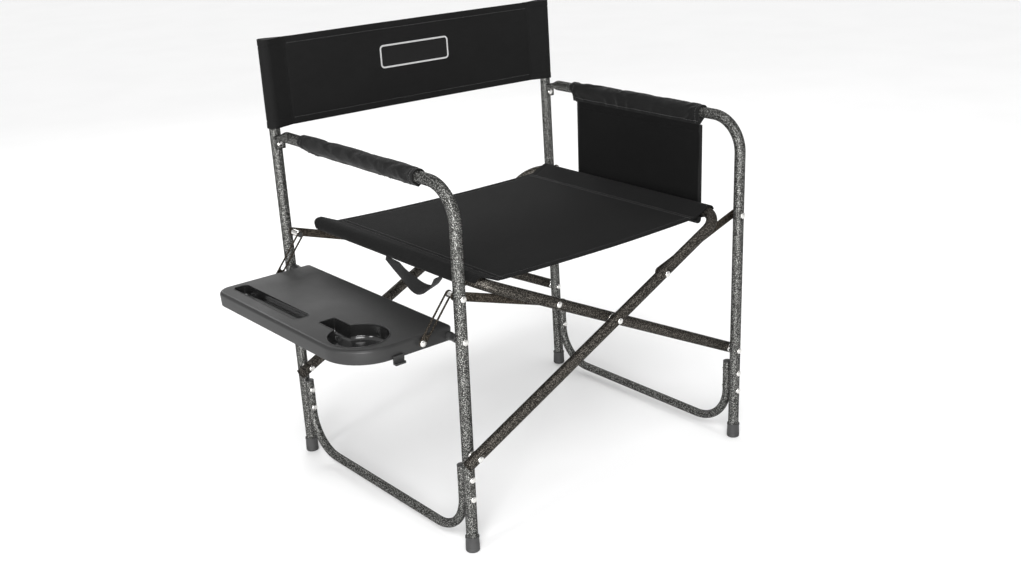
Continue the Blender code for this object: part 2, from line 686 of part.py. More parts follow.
def centre_pivots(y):
    """The rivets where the crossed frames meet, front and rear, each with a spacer between the tubes."""
    face = TUBE_R + GAP
    made = []
    for end, start in (("front", y), ("rear", y + DEPTH)):
        spacer = (start + face, start + STAGGER - face, SPACER_R)
        made.append(rivet(f"centre_pivot_{end}", 0, CROSS_Z, start - face, start + STAGGER + face, [spacer]))
    return made


def seat_sleeve(side, x, y):
    """Sleeve of the seat around a rail, between its bends."""
    front = y + BEND_RAIL + 0.001
    rear = y + DEPTH - BEND_RAIL - 0.001
    return sleeve(f"{side}_seat_sleeve", (x, front, RAIL_Z), (x, rear, RAIL_Z), SLEEVE_IN, SLEEVE_OUT, CLOTH)


def rail_side(side, hand, y):
    """A crossed frame with what is fixed to it."""
    return [
        crossed_frame(f"{side}_rail_frame", hand, y),
        *link_rivets(hand, y, f"{side}_rail"),
        seat_sleeve(side, hand * RAIL_X, y),
        carry_strap(side, hand),
    ]


def links(side, hand, y):
    """Front and rear link of one side, on the inner faces of the legs."""
    step = TUBE_R + 0.0005
    front = y + step
    rear = y + DEPTH - step - LINK_T
    return [
        link(f"{side}_front_link", hand, front, front + LINK_T),
        link(f"{side}_rear_link", hand, rear, rear),
    ]


def side_table():
    low_front = TABLE_FRONT - STAY_GAP - STAY_T
    low_rear = TABLE_REAR + STAY_GAP
    clip_low = (CLIP_LOW[0], TABLE_FRONT - CLIP_T, CLIP_LOW[1])
    clip_high = (CLIP_HIGH[0], TABLE_FRONT - GAP, CLIP_HIGH[1])
    table = [
        table_top(),
        hinge_boss("table_boss_front", TUBE_R + GAP, TABLE_FRONT - GAP),
        hinge_boss("table_boss_rear", TABLE_REAR + GAP, post_y(HINGE_Z) - TUBE_R - 2 * GAP),
        box("table_clip", clip_low, clip_high, PLASTIC),
        rivet("front_stay_pin", *STAY_PIN, low_front - GAP, TABLE_FRONT - GAP, flush=True),
        rivet("rear_stay_pin", *STAY_PIN, low_rear + STAY_T + GAP, TABLE_REAR + GAP, flush=True, backwards=True),
    ]
    return table, [stay("front_stay", low_front), stay("rear_stay", low_rear)]


def build():
    clear_scene()
    left = body("left_side", (-HALF_WIDTH, 0, 0), side_frame("left", *LEFT) + left_rivets())
    frame_a = rail_side("right", 1, -STAGGER) + centre_pivots(-STAGGER)
    first = body("right_rail_side", (-HALF_WIDTH, 0, PIVOT_Z), frame_a, left)
    second = body("left_rail_side", (0, 0, CROSS_Z), rail_side("left", -1, 0), first)
    right_things = side_frame("right", *RIGHT) + right_rivets() + [pouch()]
    right = body("right_side", (HALF_WIDTH, 0, PIVOT_Z), right_things, second)

    body("left_links", (-HALF_WIDTH, 0, LINK_Z), links("left", -1, 0), left)
    body("right_links", (HALF_WIDTH, 0, LINK_Z), links("right", 1, -STAGGER), right)
    body("left_seat", (-RAIL_X, 0, RAIL_Z), [seat_panel("left_seat_panel", -1)], second)
    body("right_seat", (RAIL_X, 0, RAIL_Z), [seat_panel("right_seat_panel", 1)], first)
    body("left_back", (-HALF_WIDTH, DEPTH, PIVOT_Z), [back_panel("left", -1)], left)
    body("right_back", (HALF_WIDTH, DEPTH - STAGGER, PIVOT_Z), [back_panel("right", 1)], right)

    table, stays = side_table()
    hinged = body("side_table", (-HALF_WIDTH, 0, HINGE_Z), table, left)
    body("table_stays", (STAY_PIN[0], 0, STAY_PIN[1]), stays, hinged)


build()
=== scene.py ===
"""Looks of the folding camp chair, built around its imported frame.

Smooth tubes, rivets, bars and a moulded table stand for the faceted solids, and the cloth parts are
modelled as cut and sewn cloth. Places come from the frame's boxes and joint axes, in metres.
"""

import json
import math

import bmesh
import bpy
from mathutils import Matrix, Vector, noise

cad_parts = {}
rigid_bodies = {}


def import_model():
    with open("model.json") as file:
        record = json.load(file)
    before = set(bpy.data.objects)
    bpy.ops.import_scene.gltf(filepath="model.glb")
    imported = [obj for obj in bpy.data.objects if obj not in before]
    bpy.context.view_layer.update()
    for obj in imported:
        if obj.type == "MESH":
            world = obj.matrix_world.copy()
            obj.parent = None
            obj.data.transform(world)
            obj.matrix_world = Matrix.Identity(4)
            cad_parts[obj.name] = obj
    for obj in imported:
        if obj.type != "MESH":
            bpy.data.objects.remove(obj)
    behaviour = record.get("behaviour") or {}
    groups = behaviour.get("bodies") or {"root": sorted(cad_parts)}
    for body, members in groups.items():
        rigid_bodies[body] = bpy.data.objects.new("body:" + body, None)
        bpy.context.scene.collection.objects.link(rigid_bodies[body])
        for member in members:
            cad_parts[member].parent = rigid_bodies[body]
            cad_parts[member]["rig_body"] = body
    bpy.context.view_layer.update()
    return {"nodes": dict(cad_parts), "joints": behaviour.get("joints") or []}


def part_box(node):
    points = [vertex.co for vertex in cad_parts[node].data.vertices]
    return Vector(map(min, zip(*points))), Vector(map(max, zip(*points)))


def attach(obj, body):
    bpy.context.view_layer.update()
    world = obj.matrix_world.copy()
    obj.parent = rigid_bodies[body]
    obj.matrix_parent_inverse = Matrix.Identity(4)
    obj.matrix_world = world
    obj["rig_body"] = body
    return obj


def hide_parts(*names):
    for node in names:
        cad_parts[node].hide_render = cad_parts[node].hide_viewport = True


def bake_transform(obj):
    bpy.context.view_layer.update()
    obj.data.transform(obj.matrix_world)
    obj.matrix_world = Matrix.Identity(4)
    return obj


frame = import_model()

# Places, read from the frame
JOINTS = {joint["name"]: joint for joint in frame["joints"]}


def pivot(joint):
    return Vector(JOINTS[joint]["pos_m"])


def middle(node):
    low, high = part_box(node)
    return (low + high) / 2


def size(node):
    low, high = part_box(node)
    return high - low


HALF_WIDTH = -pivot("chair_fold").x
LOW_Z = pivot("chair_fold").z
CROSS_Z = pivot("crossing").z
LINK_Z = pivot("left_link_swing").z
RAIL_X = pivot("right_seat_drop").x
RAIL_Z = pivot("right_seat_drop").z
DEPTH = pivot("left_back_pleat").y
STAGGER = DEPTH - pivot("right_back_pleat").y
LEAN = JOINTS["left_back_pleat"]["axis"][1] / JOINTS["left_back_pleat"]["axis"][2]
HINGE_Z = pivot("table_fold").z
STAY_PIN = pivot("stay_swing")
TUBE_R = size("left_post").x / 2
LOOP_R = size("left_ground_loop").x / 2
ARM_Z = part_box("left_leg_arm")[1].z - TUBE_R
POST_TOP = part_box("left_post")[1].z
LINK_X = middle("right_rail_link_rivet_front").x
LINK_END_Z = middle("right_rail_link_rivet_front").z
ARM_RIVET_Z = middle("left_arm_rivet").z
TABLE_LOW, TABLE_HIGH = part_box("table_top")
SLOPE = (CROSS_Z - LOW_Z) / HALF_WIDTH
SIDES = {"left": (-1, Vector((-HALF_WIDTH, 0, 0))), "right": (1, Vector((HALF_WIDTH, -STAGGER, 0)))}
RAIL_FRONTS = {"left": 0.0, "right": -STAGGER}

# Sizes of the real pieces
ROUND = 32
BEND_ARM = 0.062
BEND_RAIL = 0.045
BEND_LOOP = 0.075
LOOP_GAP = 0.0006
LOOP_Z = 0.018
FRAME_TAIL = 0.022
TUBE_WALL = 0.0015
FOOT_R = 0.012
FOOT_FLOOR = 0.0034
FOOT_TOP = 0.03
LOOP_RIVETS_Z = (0.099, 0.135)
HEAD_R = 0.0056
HEAD_H = 0.0026
SHANK_R = 0.003
SPACER_R = 0.0075
STEM_R = 0.0055  # of the spacers on the left high pivots
FRONT_SPACER_Y = 0.0145  # where the front one starts, behind the left leg
CLOTH_T = 0.0015
SLEEVE_R = 0.0115  # cloth's own middle line around a tube
SLEEVE_REACH = 0.036  # from a tube's axis to the seam beside it
HEM = 0.012
X, Y, Z = Vector((1, 0, 0)), Vector((0, 1, 0)), Vector((0, 0, 1))


# ---------------------------------------------------------------- materials
def add(tree, kind, inputs=None, **settings):
    """A node with its settings, whose inputs are values or other nodes' outputs."""
    made = tree.nodes.new(kind)
    for key, value in settings.items():
        setattr(made, key, value)
    for key, value in (inputs or {}).items():
        if isinstance(value, bpy.types.NodeSocket):
            tree.links.new(value, made.inputs[key])
        else:
            made.inputs[key].default_value = value
    return made


def start(name, **values):
    """A material and its tree and shader, with constant values on the shader's own sockets."""
    made = bpy.data.materials.new(name)
    made.use_nodes = True
    tree = made.node_tree
    shader = tree.nodes["Principled BSDF"]
    for key, value in values.items():
        shader.inputs[key.replace("_", " ")].default_value = value
    return made, tree, shader


def ramp(tree, factor, stops):
    """Colours or greys at places between 0 and 1."""
    made = add(tree, "ShaderNodeValToRGB", {"Fac": factor})
    elements = made.color_ramp.elements
    while len(elements) < len(stops):
        elements.new(0.5)
    for element, (place, grey) in zip(elements, stops):
        element.position = place
        colour = grey if isinstance(grey, tuple) else (grey, grey, grey)
        element.color = (*colour, 1)
    return made.outputs["Color"]


def tinted(tree, first, second):
    """Two colours multiplied. Inputs 0, 6 and 7 are the Mix node's factor and colours."""
    inputs = {0: 1.0, 6: first, 7: second}
    return add(tree, "ShaderNodeMix", inputs, data_type="RGBA", blend_type="MULTIPLY").outputs[2]


def sums(tree, operation, first, second):
    return add(tree, "ShaderNodeMath", {0: first, 1: second}, operation=operation).outputs[0]


def clouds(tree, place, scale, detail=3.0, output="Fac"):
    inputs = {"Vector": place, "Scale": scale, "Detail": detail}
    return add(tree, "ShaderNodeTexNoise", inputs).outputs[output]


def cells(tree, place, scale, feature="F1"):
    inputs = {"Vector": place, "Scale": scale}
    return add(tree, "ShaderNodeTexVoronoi", inputs, feature=feature).outputs["Distance"]


def bands(tree, place, scale, direction):
    inputs = {"Vector": place, "Scale": scale}
    settings = {"wave_type": "BANDS", "wave_profile": "SIN", "bands_direction": direction}
    return add(tree, "ShaderNodeTexWave", inputs, **settings).outputs["Fac"]


def coated(tree, shader, colour, roughness):
    """Let a shader's colour and roughness come from nodes."""
    tree.links.new(colour, shader.inputs["Base Color"])
    tree.links.new(roughness, shader.inputs["Roughness"])


def bumped(tree, shader, height, strength, distance, invert=False):
    inputs = {"Height": height, "Strength": strength, "Distance": distance}
    made = add(tree, "ShaderNodeBump", inputs, invert=invert)
    tree.links.new(made.outputs["Normal"], shader.inputs["Normal"])


def object_place(tree):
    return add(tree, "ShaderNodeTexCoord").outputs["Object"]


def hammertone(name, dark, light, cell=0.0023):
    """Hammered powder coat: light islands in dark veins, dimpled."""
    made, tree, shader = start(name, Metallic=0.75, IOR=1.35, Specular_Tint=(0.15, 0.15, 0.15, 1),
                               Coat_Weight=0.08, Coat_Roughness=0.3, Coat_IOR=1.3)
    place = object_place(tree)
    wobble = clouds(tree, place, 420.0, 2.0, "Color")
    shifted = add(tree, "ShaderNodeVectorMath", {0: wobble, "Scale": 0.0013}, operation="SCALE").outputs[0]
    moved = add(tree, "ShaderNodeVectorMath", {0: place, 1: shifted}, operation="ADD").outputs[0]
    fine = sums(tree, "MULTIPLY", cells(tree, moved, 2.3 / cell), 0.45)
    both = sums(tree, "ADD", cells(tree, moved, 1 / cell), fine)
    between = tuple(0.36 * a + 0.64 * b for a, b in zip(light, dark))
    colour = ramp(tree, both, [(0.3, light), (0.5, between), (0.72, dark)])
    shade = ramp(tree, clouds(tree, place, 22.0), [(0.3, 0.86), (0.7, 1.0)])
    coated(tree, shader, tinted(tree, colour, shade), ramp(tree, both, [(0.2, 0.36), (0.9, 0.5)]))
    bumped(tree, shader, both, 0.6, 0.0005, invert=True)
    return made


def nickel():
    """Nickel plate with fine wear."""
    made, tree, shader = start("nickel_plate", Metallic=1.0)
    wear = clouds(tree, object_place(tree), 900.0, 4.0)
    colour = ramp(tree, wear, [(0.3, (0.62, 0.61, 0.59)), (0.7, (0.86, 0.85, 0.83))])
    coated(tree, shader, colour, ramp(tree, wear, [(0.3, 0.14), (0.75, 0.3)]))
    bumped(tree, shader, wear, 0.15, 0.0002)
    return made


def rubber(name="moulded_rubber", grey=0.028, roughness=0.62):
    """Dull moulded rubber with a little dust."""
    made, tree, shader = start(name, Specular_IOR_Level=0.4)
    place = object_place(tree)
    dust = clouds(tree, place, 60.0, 4.0)
    rough = ramp(tree, dust, [(0.3, roughness - 0.1), (0.7, roughness + 0.12)])
    coated(tree, shader, ramp(tree, dust, [(0.35, grey), (0.75, grey * 1.8)]), rough)
    bumped(tree, shader, clouds(tree, place, 1400.0), 0.25, 0.0003)
    return made


def plastic(name, grey, rough, grain_size, strength, coat=0.0):
    """Moulded plastic with a spark-eroded grain."""
    made, tree, shader = start(name, IOR=1.36, Coat_Weight=coat, Coat_Roughness=0.08)
    place = object_place(tree)
    grain = cells(tree, place, 1 / grain_size, "SMOOTH_F1")
    fine = clouds(tree, place, 2.4 / grain_size)
    wear = clouds(tree, place, 14.0, 5.0)
    height = sums(tree, "ADD", grain, sums(tree, "MULTIPLY", fine, 0.4))
    tone = ramp(tree, wear, [(0.3, grey * 0.85), (0.7, grey * 1.15)])
    speck = ramp(tree, fine, [(0.35, 0.88), (0.65, 1.0)])
    roughness = ramp(tree, wear, [(0.3, rough - 0.04), (0.7, rough + 0.05)])
    coated(tree, shader, tinted(tree, tone, speck), roughness)
    bumped(tree, shader, height, strength, 0.0002)
    return made


def woven(name, dark, light, pitch, rough, sheen, ribs=1.0, strength=0.5):
    """Woven cloth. Its threads follow the weave attribute, in metres along and across the cloth."""
    made, tree, shader = start(name, IOR=1.16, Sheen_Weight=sheen, Sheen_Roughness=0.4)
    place = add(tree, "ShaderNodeAttribute", attribute_name="weave").outputs["Vector"]
    turns = math.pi / (10 * pitch)  # the Wave Texture's scale for one band every pitch
    warp = bands(tree, place, turns, "X")
    weft = bands(tree, place, turns * ribs, "Y")
    slub = add(tree, "ShaderNodeMapping", {"Vector": place, "Scale": (30.0, 900.0, 1.0)})
    streaks = clouds(tree, slub.outputs[0], 1.0)
    over = sums(tree, "MAXIMUM", warp, weft)
    colour = ramp(tree, over, [(0.25, dark), (0.95, light)])
    varied = tinted(tree, colour, ramp(tree, streaks, [(0.3, 0.72), (0.7, 1.0)]))
    shaded = tinted(tree, varied, ramp(tree, clouds(tree, place, 9.0, 4.0), [(0.3, 0.88), (0.7, 1.0)]))
    coated(tree, shader, shaded, ramp(tree, streaks, [(0.3, rough - 0.07), (0.7, rough + 0.07)]))
    height = sums(tree, "ADD", over, sums(tree, "MULTIPLY", streaks, 0.5))
    bumped(tree, shader, height, strength, 0.0002)
    return made


def thread():
    """Twisted sewing thread."""
    made, tree, shader = start("sewing_thread", Sheen_Weight=0.3)
    twist = bands(tree, object_place(tree), 700.0, "DIAGONAL")
    colour = ramp(tree, twist, [(0.2, 0.008), (0.9, 0.024)])
    coated(tree, shader, colour, ramp(tree, twist, [(0.2, 0.5), (0.9, 0.7)]))
    bumped(tree, shader, twist, 0.4, 0.0002)
    return made


HAMMERED = hammertone("hammered_coat_bright", (0.036, 0.036, 0.034), (0.64, 0.64, 0.615), 0.00195)
HAMMERED_DARK = hammertone("hammered_coat_frame", (0.026, 0.0235, 0.0205), (0.37, 0.34, 0.3), 0.0019)
BAR_COAT = hammertone("dark_coat_bars", (0.024, 0.0205, 0.0165), (0.24, 0.205, 0.165), 0.0019)
NICKEL = nickel()
RUBBER = rubber()
PLUG = rubber("plug_plastic", 0.02, 0.45)
TABLE_TOP = plastic("table_matte", 0.017, 0.52, 0.0011, 0.45)
TABLE_RIM = plastic("table_satin", 0.02, 0.4, 0.0016, 0.15)
CUP_GLOSS = plastic("cup_gloss", 0.012, 0.16, 0.004, 0.03, 0.9)
OXFORD = woven("black_oxford", 0.006, 0.0125, 0.0009, 0.78, 0.02, 0.8)
PAD_CLOTH = woven("pad_cloth", 0.005, 0.013, 0.0009, 0.66, 0.10, 0.8)
POUCH_CLOTH = woven("pouch_cloth", 0.003, 0.0075, 0.0009, 0.82, 0.01, 0.8)
TAPE = woven("binding_tape", 0.007, 0.018, 0.0013, 0.7, 0.1, 1.6)
WEBBING = woven("carry_webbing", 0.006, 0.022, 0.0016, 0.72, 0.08, 1.4, 0.9)
LABEL = woven("label_cloth", 0.5, 0.8, 0.0008, 0.7, 0.1)
LABEL_FIELD = woven("label_field", 0.012, 0.03, 0.0008, 0.7, 0.1)
THREAD = thread()
TABLE_LOOK = [TABLE_TOP, TABLE_RIM, CUP_GLOSS]


# ---------------------------------------------------------------- shapes
class Shape:
    """A mesh in the making: its points, its faces and each face's material number."""

    def __init__(self):
        self.points, self.faces, self.marks = [], [], []

    def row(self, spots):
        first = len(self.points)
        self.points.extend(Vector(s) for s in spots)
        return list(range(first, len(self.points)))

    def face(self, corners, mark=0):
        self.faces.append(tuple(corners))
        self.marks.append(mark)

    def bridge(self, first, second, mark=0, closed=True):
        count = len(first)
        for i in range(count if closed else count - 1):
            j = (i + 1) % count
            self.face((first[i], first[j], second[j], second[i]), mark)

    def rings(self, rows, mark=0):
        for first, second in zip(rows, rows[1:]):
            self.bridge(first, second, mark)

    def fan(self, row, tip, mark=0):
        for i in range(len(row)):
            self.face((row[i], row[(i + 1) % len(row)], tip), mark)

    def piece(self, name, materials, sharp=38, closed=True):
        """The finished object, at the origin, with its faces turned out."""
        mesh = bpy.data.meshes.new(name)
        mesh.from_pydata([tuple(p) for p in self.points], [], self.faces)
        for made in materials:
            mesh.materials.append(made)
        mesh.polygons.foreach_set("material_index", self.marks)
        shape = bmesh.new()
        shape.from_mesh(mesh)
        bmesh.ops.recalc_face_normals(shape, faces=shape.faces[:])
        if closed and shape.calc_volume(signed=True) < 0:
            bmesh.ops.reverse_faces(shape, faces=shape.faces[:])
        shape.to_mesh(mesh)
        shape.free()
        mesh.shade_smooth()
        mesh.set_sharp_from_angle(angle=math.radians(sharp))
        thing = bpy.data.objects.new(name, mesh)
        bpy.context.scene.collection.objects.link(thing)
        return thing


def settle(thing):
    """Make an object's modifiers part of its mesh."""
    bpy.context.view_layer.update()
    seen = thing.evaluated_get(bpy.context.evaluated_depsgraph_get())
    mesh = bpy.data.meshes.new_from_object(seen)
    thing.modifiers.clear()
    thing.data = mesh
    return thing


def carve(thing, cutter):
    step = thing.modifiers.new("carve", "BOOLEAN")
    step.operation = "DIFFERENCE"
    step.object = cutter
    step.solver = "EXACT"
    settle(thing)
    thing.data.set_sharp_from_angle(angle=math.radians(30))
    bpy.data.objects.remove(cutter)
    return thing


def rounded(points, radius, steps=14):
    """A path with each inner corner replaced by an arc."""
    path = [Vector(points[0])]
    for before, corner, after in zip(points, points[1:], points[2:]):
        corner = Vector(corner)
        back = (Vector(before) - corner).normalized()
        ahead = (Vector(after) - corner).normalized()
        half = back.angle(ahead) / 2
        centre = corner + (back + ahead).normalized() * radius / math.sin(half)
        begin = corner + back * radius / math.tan(half) - centre
        end = corner + ahead * radius / math.tan(half) - centre
        whole = begin.angle(end)
        for i in range(steps + 1):
            share = i / steps
            mixed = begin * math.sin((1 - share) * whole) + end * math.sin(share * whole)
            path.append(centre + mixed / math.sin(whole))
    path.append(Vector(points[-1]))
    return path


def tangents(path, closed=False):
    found = []
    last = len(path) - 1
    for i, spot in enumerate(path):
        before = path[i - 1] if i or closed else spot
        after = path[(i + 1) % len(path)] if i < last or closed else spot
        found.append((after - before).normalized())
    return found


def sweep(shape, path, normal, half, depth=None, sides=ROUND, mark=0, closed=False):
    """Rings along a path in the plane with this normal. half is in the plane and depth across it.

    Either may be one number, or a list with one for each point of the path.
    """
    normal = Vector(normal).normalized()
    rows = []
    for i, (spot, tangent) in enumerate(zip(path, tangents(path, closed))):
        across = tangent.cross(normal)
        a = half[i] if hasattr(half, "__len__") else half
        b = a if depth is None else (depth[i] if hasattr(depth, "__len__") else depth)
        angles = [2 * math.pi * k / sides for k in range(sides)]
        rows.append(shape.row(spot + a * math.cos(t) * across + b * math.sin(t) * normal for t in angles))
    shape.rings(rows, mark)
    if closed:
        shape.bridge(rows[-1], rows[0], mark)
    return rows


def tube_end(shape, row, spot, outward, radius, wall=TUBE_WALL, depth=0.014):
    """Close a tube's end as a real one: a flat lip and a dark bore that ends out of sight."""
    ratio = (radius - wall) / radius
    ring = [spot + (shape.points[i] - spot) * ratio for i in row]
    lip = shape.row(ring)
    deep = shape.row(p - outward * depth for p in ring)
    shape.bridge(row, lip)
    shape.bridge(lip, deep)
    shape.face(deep)


def tube(name, path, radius, normal, material):
    shape = Shape()
    rows = sweep(shape, path, normal, radius)
    tube_end(shape, rows[0], path[0], (path[0] - path[1]).normalized(), radius)
    tube_end(shape, rows[-1], path[-1], (path[-1] - path[-2]).normalized(), radius)
    return shape.piece(name, [material])


def turn(shape, profile, base, axis, sides=ROUND, mark=0, ring_shaped=False):
    """Turn a profile of (along, radius) around an axis."""
    axis = Vector(axis).normalized()
    across = axis.orthogonal().normalized()
    up = axis.cross(across)
    rows = []
    for along, radius in profile:
        centre = Vector(base) + axis * along
        if radius < 1e-7:
            rows.append(shape.row([centre]))
            continue
        angles = [2 * math.pi * k / sides for k in range(sides)]
        rows.append(shape.row(centre + radius * (math.cos(t) * across + math.sin(t) * up) for t in angles))
    pairs = list(zip(rows, rows[1:])) + ([(rows[-1], rows[0])] if ring_shaped else [])
    for first, second in pairs:
        if len(first) == 1:
            shape.fan(second, first[0], mark)
        elif len(second) == 1:
            shape.fan(first, second[0], mark)
        else:
            shape.bridge(first, second, mark)


def turned(name, profile, base, axis, material, sides=ROUND, ring_shaped=False):
    shape = Shape()
    turn(shape, profile, base, axis, sides, ring_shaped=ring_shaped)
    return shape.piece(name, [material])


def quarter(along, radius, height, width, steps=6):
    """Profile points of a quarter round from (along, radius) inwards to (along + height, radius - width)."""
    angles = [math.pi / 2 * i / steps for i in range(steps + 1)]
    return [(along + height * math.sin(t), radius - width * (1 - math.cos(t))) for t in angles]


def arc(centre, radius, begin, end, steps):
    """Points of an arc, angles in degrees."""
    angles = [math.radians(begin + (end - begin) * i / steps) for i in range(steps + 1)]
    return [(centre[0] + radius * math.cos(a), centre[1] + radius * math.sin(a)) for a in angles]


def rounded_box(low, high, radii, grown, steps):
    """Outline of a box that has grown, with a radius for each corner, from its left front one round."""
    points = []
    for i, (radius, count) in enumerate(zip(radii, steps)):
        x = high[0] - radius if i in (1, 2) else low[0] + radius
        y = low[1] + radius if i in (0, 1) else high[1] - radius
        points += arc((x, y), radius + grown, 180 + 90 * i, 270 + 90 * i, count)
    return points


def stadium(first, second, radius, steps=16):
    """Outline of a bar with round ends."""
    heading = math.degrees(math.atan2(second[1] - first[1], second[0] - first[0]))
    far_end = arc(second, radius, heading - 90, heading + 90, steps)
    return far_end + arc(first, radius, heading + 90, heading + 270, steps)


def slab(shape, outline, place, low, high, edge, mark=0, hole=None):
    """A plate with rounded edges. outline(inset) gives its edge, and hole(inset) an opening's."""
    def rings_of(edge_line):
        made = []
        for i in range(5):
            t = math.pi / 2 * i / 4
            made.append((edge_line(edge * (1 - math.sin(t))), low + edge * (1 - math.cos(t))))
        for i in range(5):
            t = math.pi / 2 * i / 4
            made.append((edge_line(edge * (1 - math.cos(t))), high - edge * (1 - math.sin(t))))
        return [shape.row(place(u, v, w) for u, v in line) for line, w in made]

    outer = rings_of(outline)
    shape.rings(outer, mark)
    if hole is None:
        shape.face(outer[0], mark)
        shape.face(outer[-1], mark)
        return
    inner = rings_of(lambda inset: hole(-inset))
    shape.rings(inner, mark)
    shape.bridge(outer[0], inner[0], mark)
    shape.bridge(outer[-1], inner[-1], mark)


def facing_front(u, v, w):
    return Vector((u, w, v))


def distances(points):
    """How far along a path each of its points is."""
    found = [0.0]
    for a, b in zip(points, points[1:]):
        found.append(found[-1] + (b - a).length)
    return found


def stitches(shape, path, normals, mark, length=0.0032, gap=0.0012, thick=0.00038):
    """A row of sewn stitches: short rounded threads laid end to end along a path on a cloth."""
    lengths = distances(path)
    step = length + gap
    count = int(lengths[-1] / step)
    index = 0
    for i in range(count):
        ends = []
        for along in (i * step + gap / 2, i * step + gap / 2 + length):
            while index < len(path) - 2 and lengths[index + 1] < along:
                index += 1
            span = lengths[index + 1] - lengths[index]
            share = (along - lengths[index]) / span
            ends.append((path[index].lerp(path[index + 1], share), normals[index]))
        (a, up), (b, _) = ends
        along = (b - a).normalized()
        side = along.cross(up).normalized()
        rows = []
        for share, lift, width in ((0, -0.4, 0.5), (0.2, 0.5, 1.0), (0.8, 0.5, 1.0), (1, -0.4, 0.5)):
            centre = a.lerp(b, share) + up * thick * lift
            angles = [math.pi / 3 * k for k in range(6)]
            ring = [centre + thick * width * (math.cos(t) * side + math.sin(t) * up) for t in angles]
            rows.append(shape.row(ring))
        shape.rings(rows, mark)
        shape.face(rows[0], mark)
        shape.face(rows[-1], mark)


def stand_in(thing, *nodes, rides=True):
    """Let a piece stand for CAD nodes, and ride with the first one unless rides is false, as for a piece that
    spans two bodies.
    """
    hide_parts(*nodes)
    if rides:
        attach(thing, frame["nodes"][nodes[0]]["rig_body"])


def extra_piece(thing, body):
    """Let a piece that stands for no CAD node ride with a body."""
    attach(thing, body)


def post_y(z):
    """Axis of the left rear post at this height."""
    return DEPTH + LEAN * (z - LOW_Z)


# ---------------------------------------------------------------- metal frame
def leg_and_arm(side, place):
    """Front leg bent into the armrest, flattened at its rear end and turned down onto the post."""
    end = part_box(f"{side}_leg_arm")[1].y
    flat = 0.0016  # half the flattened end's thickness
    wider = 0.002  # how much the end spreads as it is flattened
    straight_end, flattening = end - 0.03, 0.02
    tip = Vector((place.x, end - flat, ARM_RIVET_Z - 0.009))
    corner = Vector((place.x, place.y, ARM_Z))
    path = rounded([place + Z * FOOT_FLOOR, corner, Vector((place.x, straight_end, ARM_Z))], BEND_ARM, 20)
    path += [Vector((place.x, straight_end + 0.003 * i, ARM_Z)) for i in range(1, 8)]
    path += rounded([path[-1], Vector((place.x, tip.y, ARM_Z)), tip], 0.004, 8)[1:]
    half, depth = [], []
    for spot in path:
        share = eased((spot.y - straight_end) / flattening)
        half.append(TUBE_R + (flat - TUBE_R) * share)
        depth.append(TUBE_R + wider * share)
    shape = Shape()
    rows = sweep(shape, path, X, half, depth)
    tube_end(shape, rows[0], path[0], -Z, TUBE_R)
    shape.face(rows[-1])
    stand_in(shape.piece(f"{side}_leg_arm_tube", [HAMMERED], 50), f"{side}_leg_arm")


def rear_post(side, place):
    """Leaning tube behind the seat, which ends upright in its foot."""
    foot_y = middle(f"{side}_rear_foot").y
    path = [Vector((place.x, max(place.y + post_y(z), foot_y), z)) for z in (FOOT_FLOOR, FOOT_TOP, POST_TOP)]
    stand_in(tube(f"{side}_post_tube", path, TUBE_R, X, HAMMERED), f"{side}_post")


def loop_spots(side, place):
    """Where a ground loop's ends run beside the leg and the post, at a height."""
    step = TUBE_R + LOOP_R + LOOP_GAP
    return (lambda z: Vector((place.x, place.y + step, z)),
            lambda z: Vector((place.x, place.y + post_y(z) - step, z)))


def dome_rivet(shape, base, outward, radius=HEAD_R, height=HEAD_H, mark=0):
    """A rivet's head with a thin collar, standing on a surface."""
    collar = height * 0.18
    profile = [(-0.001, 0), (-0.001, radius * 0.9), (0, radius), (collar, radius)]
    profile += [(collar + (height - collar) * math.sin(t), radius * math.cos(t))
                for t in [math.pi / 2 * i / 7 for i in range(1, 7)]] + [(height, 0)]
    turn(shape, profile, base, outward, 24, mark)


def ground_loop(side, place):
    """U-shaped tube near the floor, its two plugs, and the rivets through its ends."""
    front, rear = loop_spots(side, place)
    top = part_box(f"{side}_front_plug")[0].z + 0.010
    path = rounded([front(top), front(LOOP_Z), rear(LOOP_Z), rear(top)], BEND_LOOP, 20)
    stand_in(tube(f"{side}_ground_loop_tube", path, LOOP_R, X, HAMMERED), f"{side}_ground_loop")
    rivets = Shape()
    for z in LOOP_RIVETS_Z:
        dome_rivet(rivets, Vector((place.x, place.y - TUBE_R, z)), -Y)
        dome_rivet(rivets, front(z) + Y * LOOP_R, Y, HEAD_R * 0.8, HEAD_H * 0.6)
        dome_rivet(rivets, rear(z) - Y * LOOP_R, -Y)
        dome_rivet(rivets, Vector((place.x, place.y + post_y(z) + TUBE_R, z)), Y, HEAD_R * 0.8, HEAD_H * 0.6)
    extra_piece(rivets.piece(f"{side}_loop_rivets", [NICKEL]), f"{side}_side")
    for end, spot, lean in (("front", front, 0), ("rear", rear, LEAN)):
        stem = LOOP_R - 0.0017
        profile = [(-0.010, 0), (-0.010, stem), (0.0002, stem), (0.0002, LOOP_R), (0.0012, LOOP_R + 0.0002)]
        profile += quarter(0.0012, LOOP_R + 0.0002, 0.0016, 0.0022) + [(0.0030, LOOP_R * 0.4), (0.0030, 0)]
        node = f"{side}_{end}_plug"
        stand_in(turned(f"{node}_cap", profile, spot(top), (0, lean, 1), PLUG), node)


